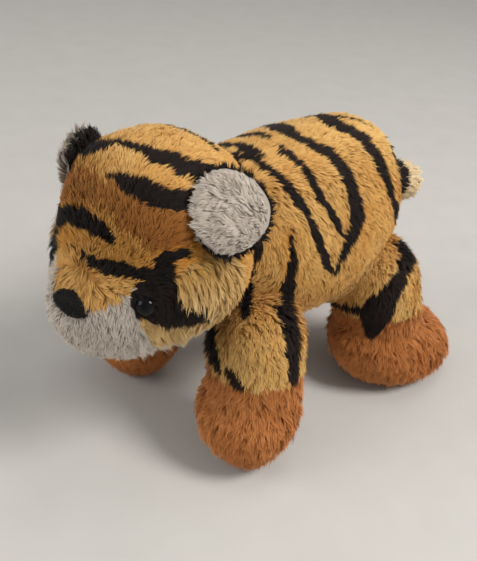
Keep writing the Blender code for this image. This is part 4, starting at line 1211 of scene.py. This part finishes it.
# ------------------------------------------------------------- eyes and nose
def lathe(profile, sides=40):
    """A turned solid from (radius, height) pairs, closed at both ends on its axis."""
    bm = bmesh.new()
    rows = []
    for r, z in profile:
        rows.append([bm.verts.new((r * math.cos(2 * math.pi * k / sides), r * math.sin(2 * math.pi * k / sides), z)) for k in range(sides)]
                    if r > 1e-9 else [bm.verts.new((0, 0, z))])
    for a, b in zip(rows, rows[1:]):
        for k in range(sides):
            j = (k + 1) % sides
            loop = [a[k % len(a)], a[j % len(a)], b[j % len(b)], b[k % len(b)]]
            loop = [x for i, x in enumerate(loop) if x not in loop[:i]]
            if len(loop) > 2:
                bm.faces.new(loop)
    bmesh.ops.recalc_face_normals(bm, faces=bm.faces)
    return bm


def finished(name, bm, material, matrix=None, sharp=40):
    if matrix is not None:
        bm.transform(matrix)
    mesh = bpy.data.meshes.new(name)
    bm.to_mesh(mesh)
    bm.free()
    mesh.shade_smooth()
    mesh.set_sharp_from_angle(angle=math.radians(sharp))
    mesh.materials.append(material)
    obj = bpy.data.objects.new(name, mesh)
    bpy.context.scene.collection.objects.link(obj)
    return obj


def metres(p_local):
    return Vector(head_world(np.array([p_local]))[0] * W + np.array([0, SHIFT, 0]))


for hand, (at, n) in EYE_SPOT.items():
    R = 0.0027
    base = metres(at)
    normal = Vector(TURN @ n)
    frame_m = Matrix.Translation(base - normal * (0.0023 if hand == "left" else 0.0029)) @ normal.to_track_quat("Z", "Y").to_matrix().to_4x4()
    profile = [(0, R)] + [(R * math.sin(a), R * math.cos(a)) for a in np.linspace(0.12, 1.80, 22)] + \
              [(R * 0.80, -0.00085), (0.0012, -0.0009), (0.0010, -0.0012), (0.00085, -0.0045), (0.00093, -0.0047), (0.00085, -0.0049),
               (0.00085, -0.0061), (0.0006, -0.0064), (0, -0.0064)]
    eye = finished(f"bead_eye_{hand}", lathe(profile, 44), BEAD_MAT, frame_m)
    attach(eye, "head"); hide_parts(f"eye_{hand}")
    ring = [(0.0012, 0.0004), (0.0013, 0.00045), (0.0030, 0.0003), (0.0033, 0.0001), (0.0034, -0.0001), (0.0033, -0.0003), (0.0030, -0.00045),
            (0.0013, -0.00045), (0.0012, -0.0004), (0.0012, 0.0004)]
    deep = Matrix.Translation(base - normal * 0.00445) @ normal.to_track_quat("Z", "Y").to_matrix().to_4x4()
    bm = bmesh.new()
    rows = [[bm.verts.new((r * (1 + 0.03 * math.cos(6 * 2 * math.pi * k / 48)) * math.cos(2 * math.pi * k / 48),
                           r * (1 + 0.03 * math.cos(6 * 2 * math.pi * k / 48)) * math.sin(2 * math.pi * k / 48), z)) for k in range(48)] for r, z in ring[:-1]]
    for i in range(len(rows)):
        a, b = rows[i], rows[(i + 1) % len(rows)]
        for k in range(48):
            bm.faces.new((a[k], a[(k + 1) % 48], b[(k + 1) % 48], b[k]))
    bmesh.ops.recalc_face_normals(bm, faces=bm.faces)
    washer = finished(f"clip_washer_{hand}", bm, CLIP_MAT, deep)
    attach(washer, "head"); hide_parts(f"eye_washer_{hand}")

# the nose: a padded lens with a flocked face and a rolled seam at its rim
d, f = ball_mesh(5)
q = d.copy()
wide = 1 + 0.10 * q[:, 2] - 0.10 * q[:, 0] ** 2
v = np.stack([q[:, 0] * NOSE_RADII[0] * 0.90, q[:, 1] * NOSE_RADII[1] * 0.9, q[:, 2] * NOSE_RADII[2] * 0.90 * (1 - 0.30 * q[:, 0] ** 2)
              + 0.008 * (1 - q[:, 0] ** 2)], -1) * 1.0
rim = np.exp(-((q[:, 1] + 0.05) / 0.16) ** 2)
v = v * (1 + 0.03 * rim)[:, None] + unit(q) * (0.0006 * noise(q, 0.35, 301))[:, None] + NOSE_POINT
v[:, 1] += 0.004
nose_form = Form(v, f, NOSE_POINT, inset=0.0, lumps=0.0, seed=5)
pile = Pile()
pile.skin(nose_form, np.ones(len(f), bool), lambda p: np.full(len(p), BLACK), lambda p: 0.25 + 0.1 * noise(p, 0.02, 302))
p, n = scatter(nose_form, spread(0.55 * MM), lambda c: c[:, 1] < -0.424 + 0.012, 990)
pile.tufts(p, n, np.array([[0.0, 0.0, -1.0]]) + 0 * p, lambda q: np.full(len(q), BLACK), 0.30 + 0.2 * noise(p, 0.03, 303), 0.70 * MM, (48, 74), 6,
           0.42 * MM, 0.16 * MM, 991, curl=0.3)
nose = pile.make("flocked_nose", NOSE_MAT, head_world)
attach(nose, "head"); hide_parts("nose")

# ------------------------------------------------------------ floor and lights
mat, tree, shader = nodes_of("pale_floor")
where = tree.nodes.new("ShaderNodeTexCoord")
tex = tree.nodes.new("ShaderNodeTexNoise")
tex.inputs["Scale"].default_value = 60
tree.links.new(where.outputs["Object"], tex.inputs["Vector"])
r = tree.nodes.new("ShaderNodeValToRGB")
r.color_ramp.elements[0].color = (0.56, 0.555, 0.535, 1)
r.color_ramp.elements[1].color = (0.62, 0.615, 0.595, 1)
tree.links.new(tex.outputs["Fac"], r.inputs[0])
tree.links.new(r.outputs["Color"], shader.inputs["Base Color"])
shader.inputs["Roughness"].default_value = 0.75
bm = bmesh.new()
bmesh.ops.create_grid(bm, x_segments=8, y_segments=8, size=3.0)
floor = finished("floor", bm, mat)

world = bpy.context.scene.world or bpy.data.worlds.new("world")
bpy.context.scene.world = world
world.use_nodes = True
world.node_tree.nodes["Background"].inputs["Color"].default_value = (1.0, 0.975, 0.94, 1)
world.node_tree.nodes["Background"].inputs["Strength"].default_value = 0.33


def area(name, at, target, size, power, colour):
    light = bpy.data.lights.new(name, "AREA")
    light.shape = "DISK"
    light.size = size
    light.energy = power
    light.color = colour
    obj = bpy.data.objects.new(name, light)
    obj.location = at
    obj.rotation_euler = (Vector(target) - Vector(at)).to_track_quat("-Z", "Y").to_euler()
    bpy.context.scene.collection.objects.link(obj)
    return obj


area("key", (0.52, 0.20, 0.62), (0, 0, 0.04), 0.34, 5.2, (1.0, 0.955, 0.905))
area("fill", (-0.35, -0.75, 0.45), (0, 0, 0.04), 0.60, 3.1, (1.0, 0.970, 0.93))
area("top", (0.05, 0.25, 0.85), (0, 0, 0.04), 0.50, 0.9, (1.0, 0.975, 0.94))

# --------------------------------------------------------------------- camera
az, el, roll = math.radians(42.36), math.radians(31.2), math.radians(5.854)
target = Vector((-0.262 * W, 0.046 * W + SHIFT, 0.296 * W))
back = Vector((math.sin(az) * math.cos(el), -math.cos(az) * math.cos(el), math.sin(el)))
right = Vector((math.cos(az), math.sin(az), 0))
up = back.cross(right)
right, up = right * math.cos(roll) + up * math.sin(roll), up * math.cos(roll) - right * math.sin(roll)
cam = bpy.data.cameras.new("camera")
cam.sensor_width = 36.0
cam.sensor_fit = "AUTO"
cam.lens = 813.2 / 561 * 36
camera = bpy.data.objects.new("camera", cam)
m = Matrix((right, up, back)).transposed().to_4x4()
m.translation = target + back * 3.939 * W
camera.matrix_world = m
cam.clip_start = 0.01
bpy.context.scene.collection.objects.link(camera)
bpy.context.scene.camera = camera
bpy.context.scene.view_settings.view_transform = "Standard"
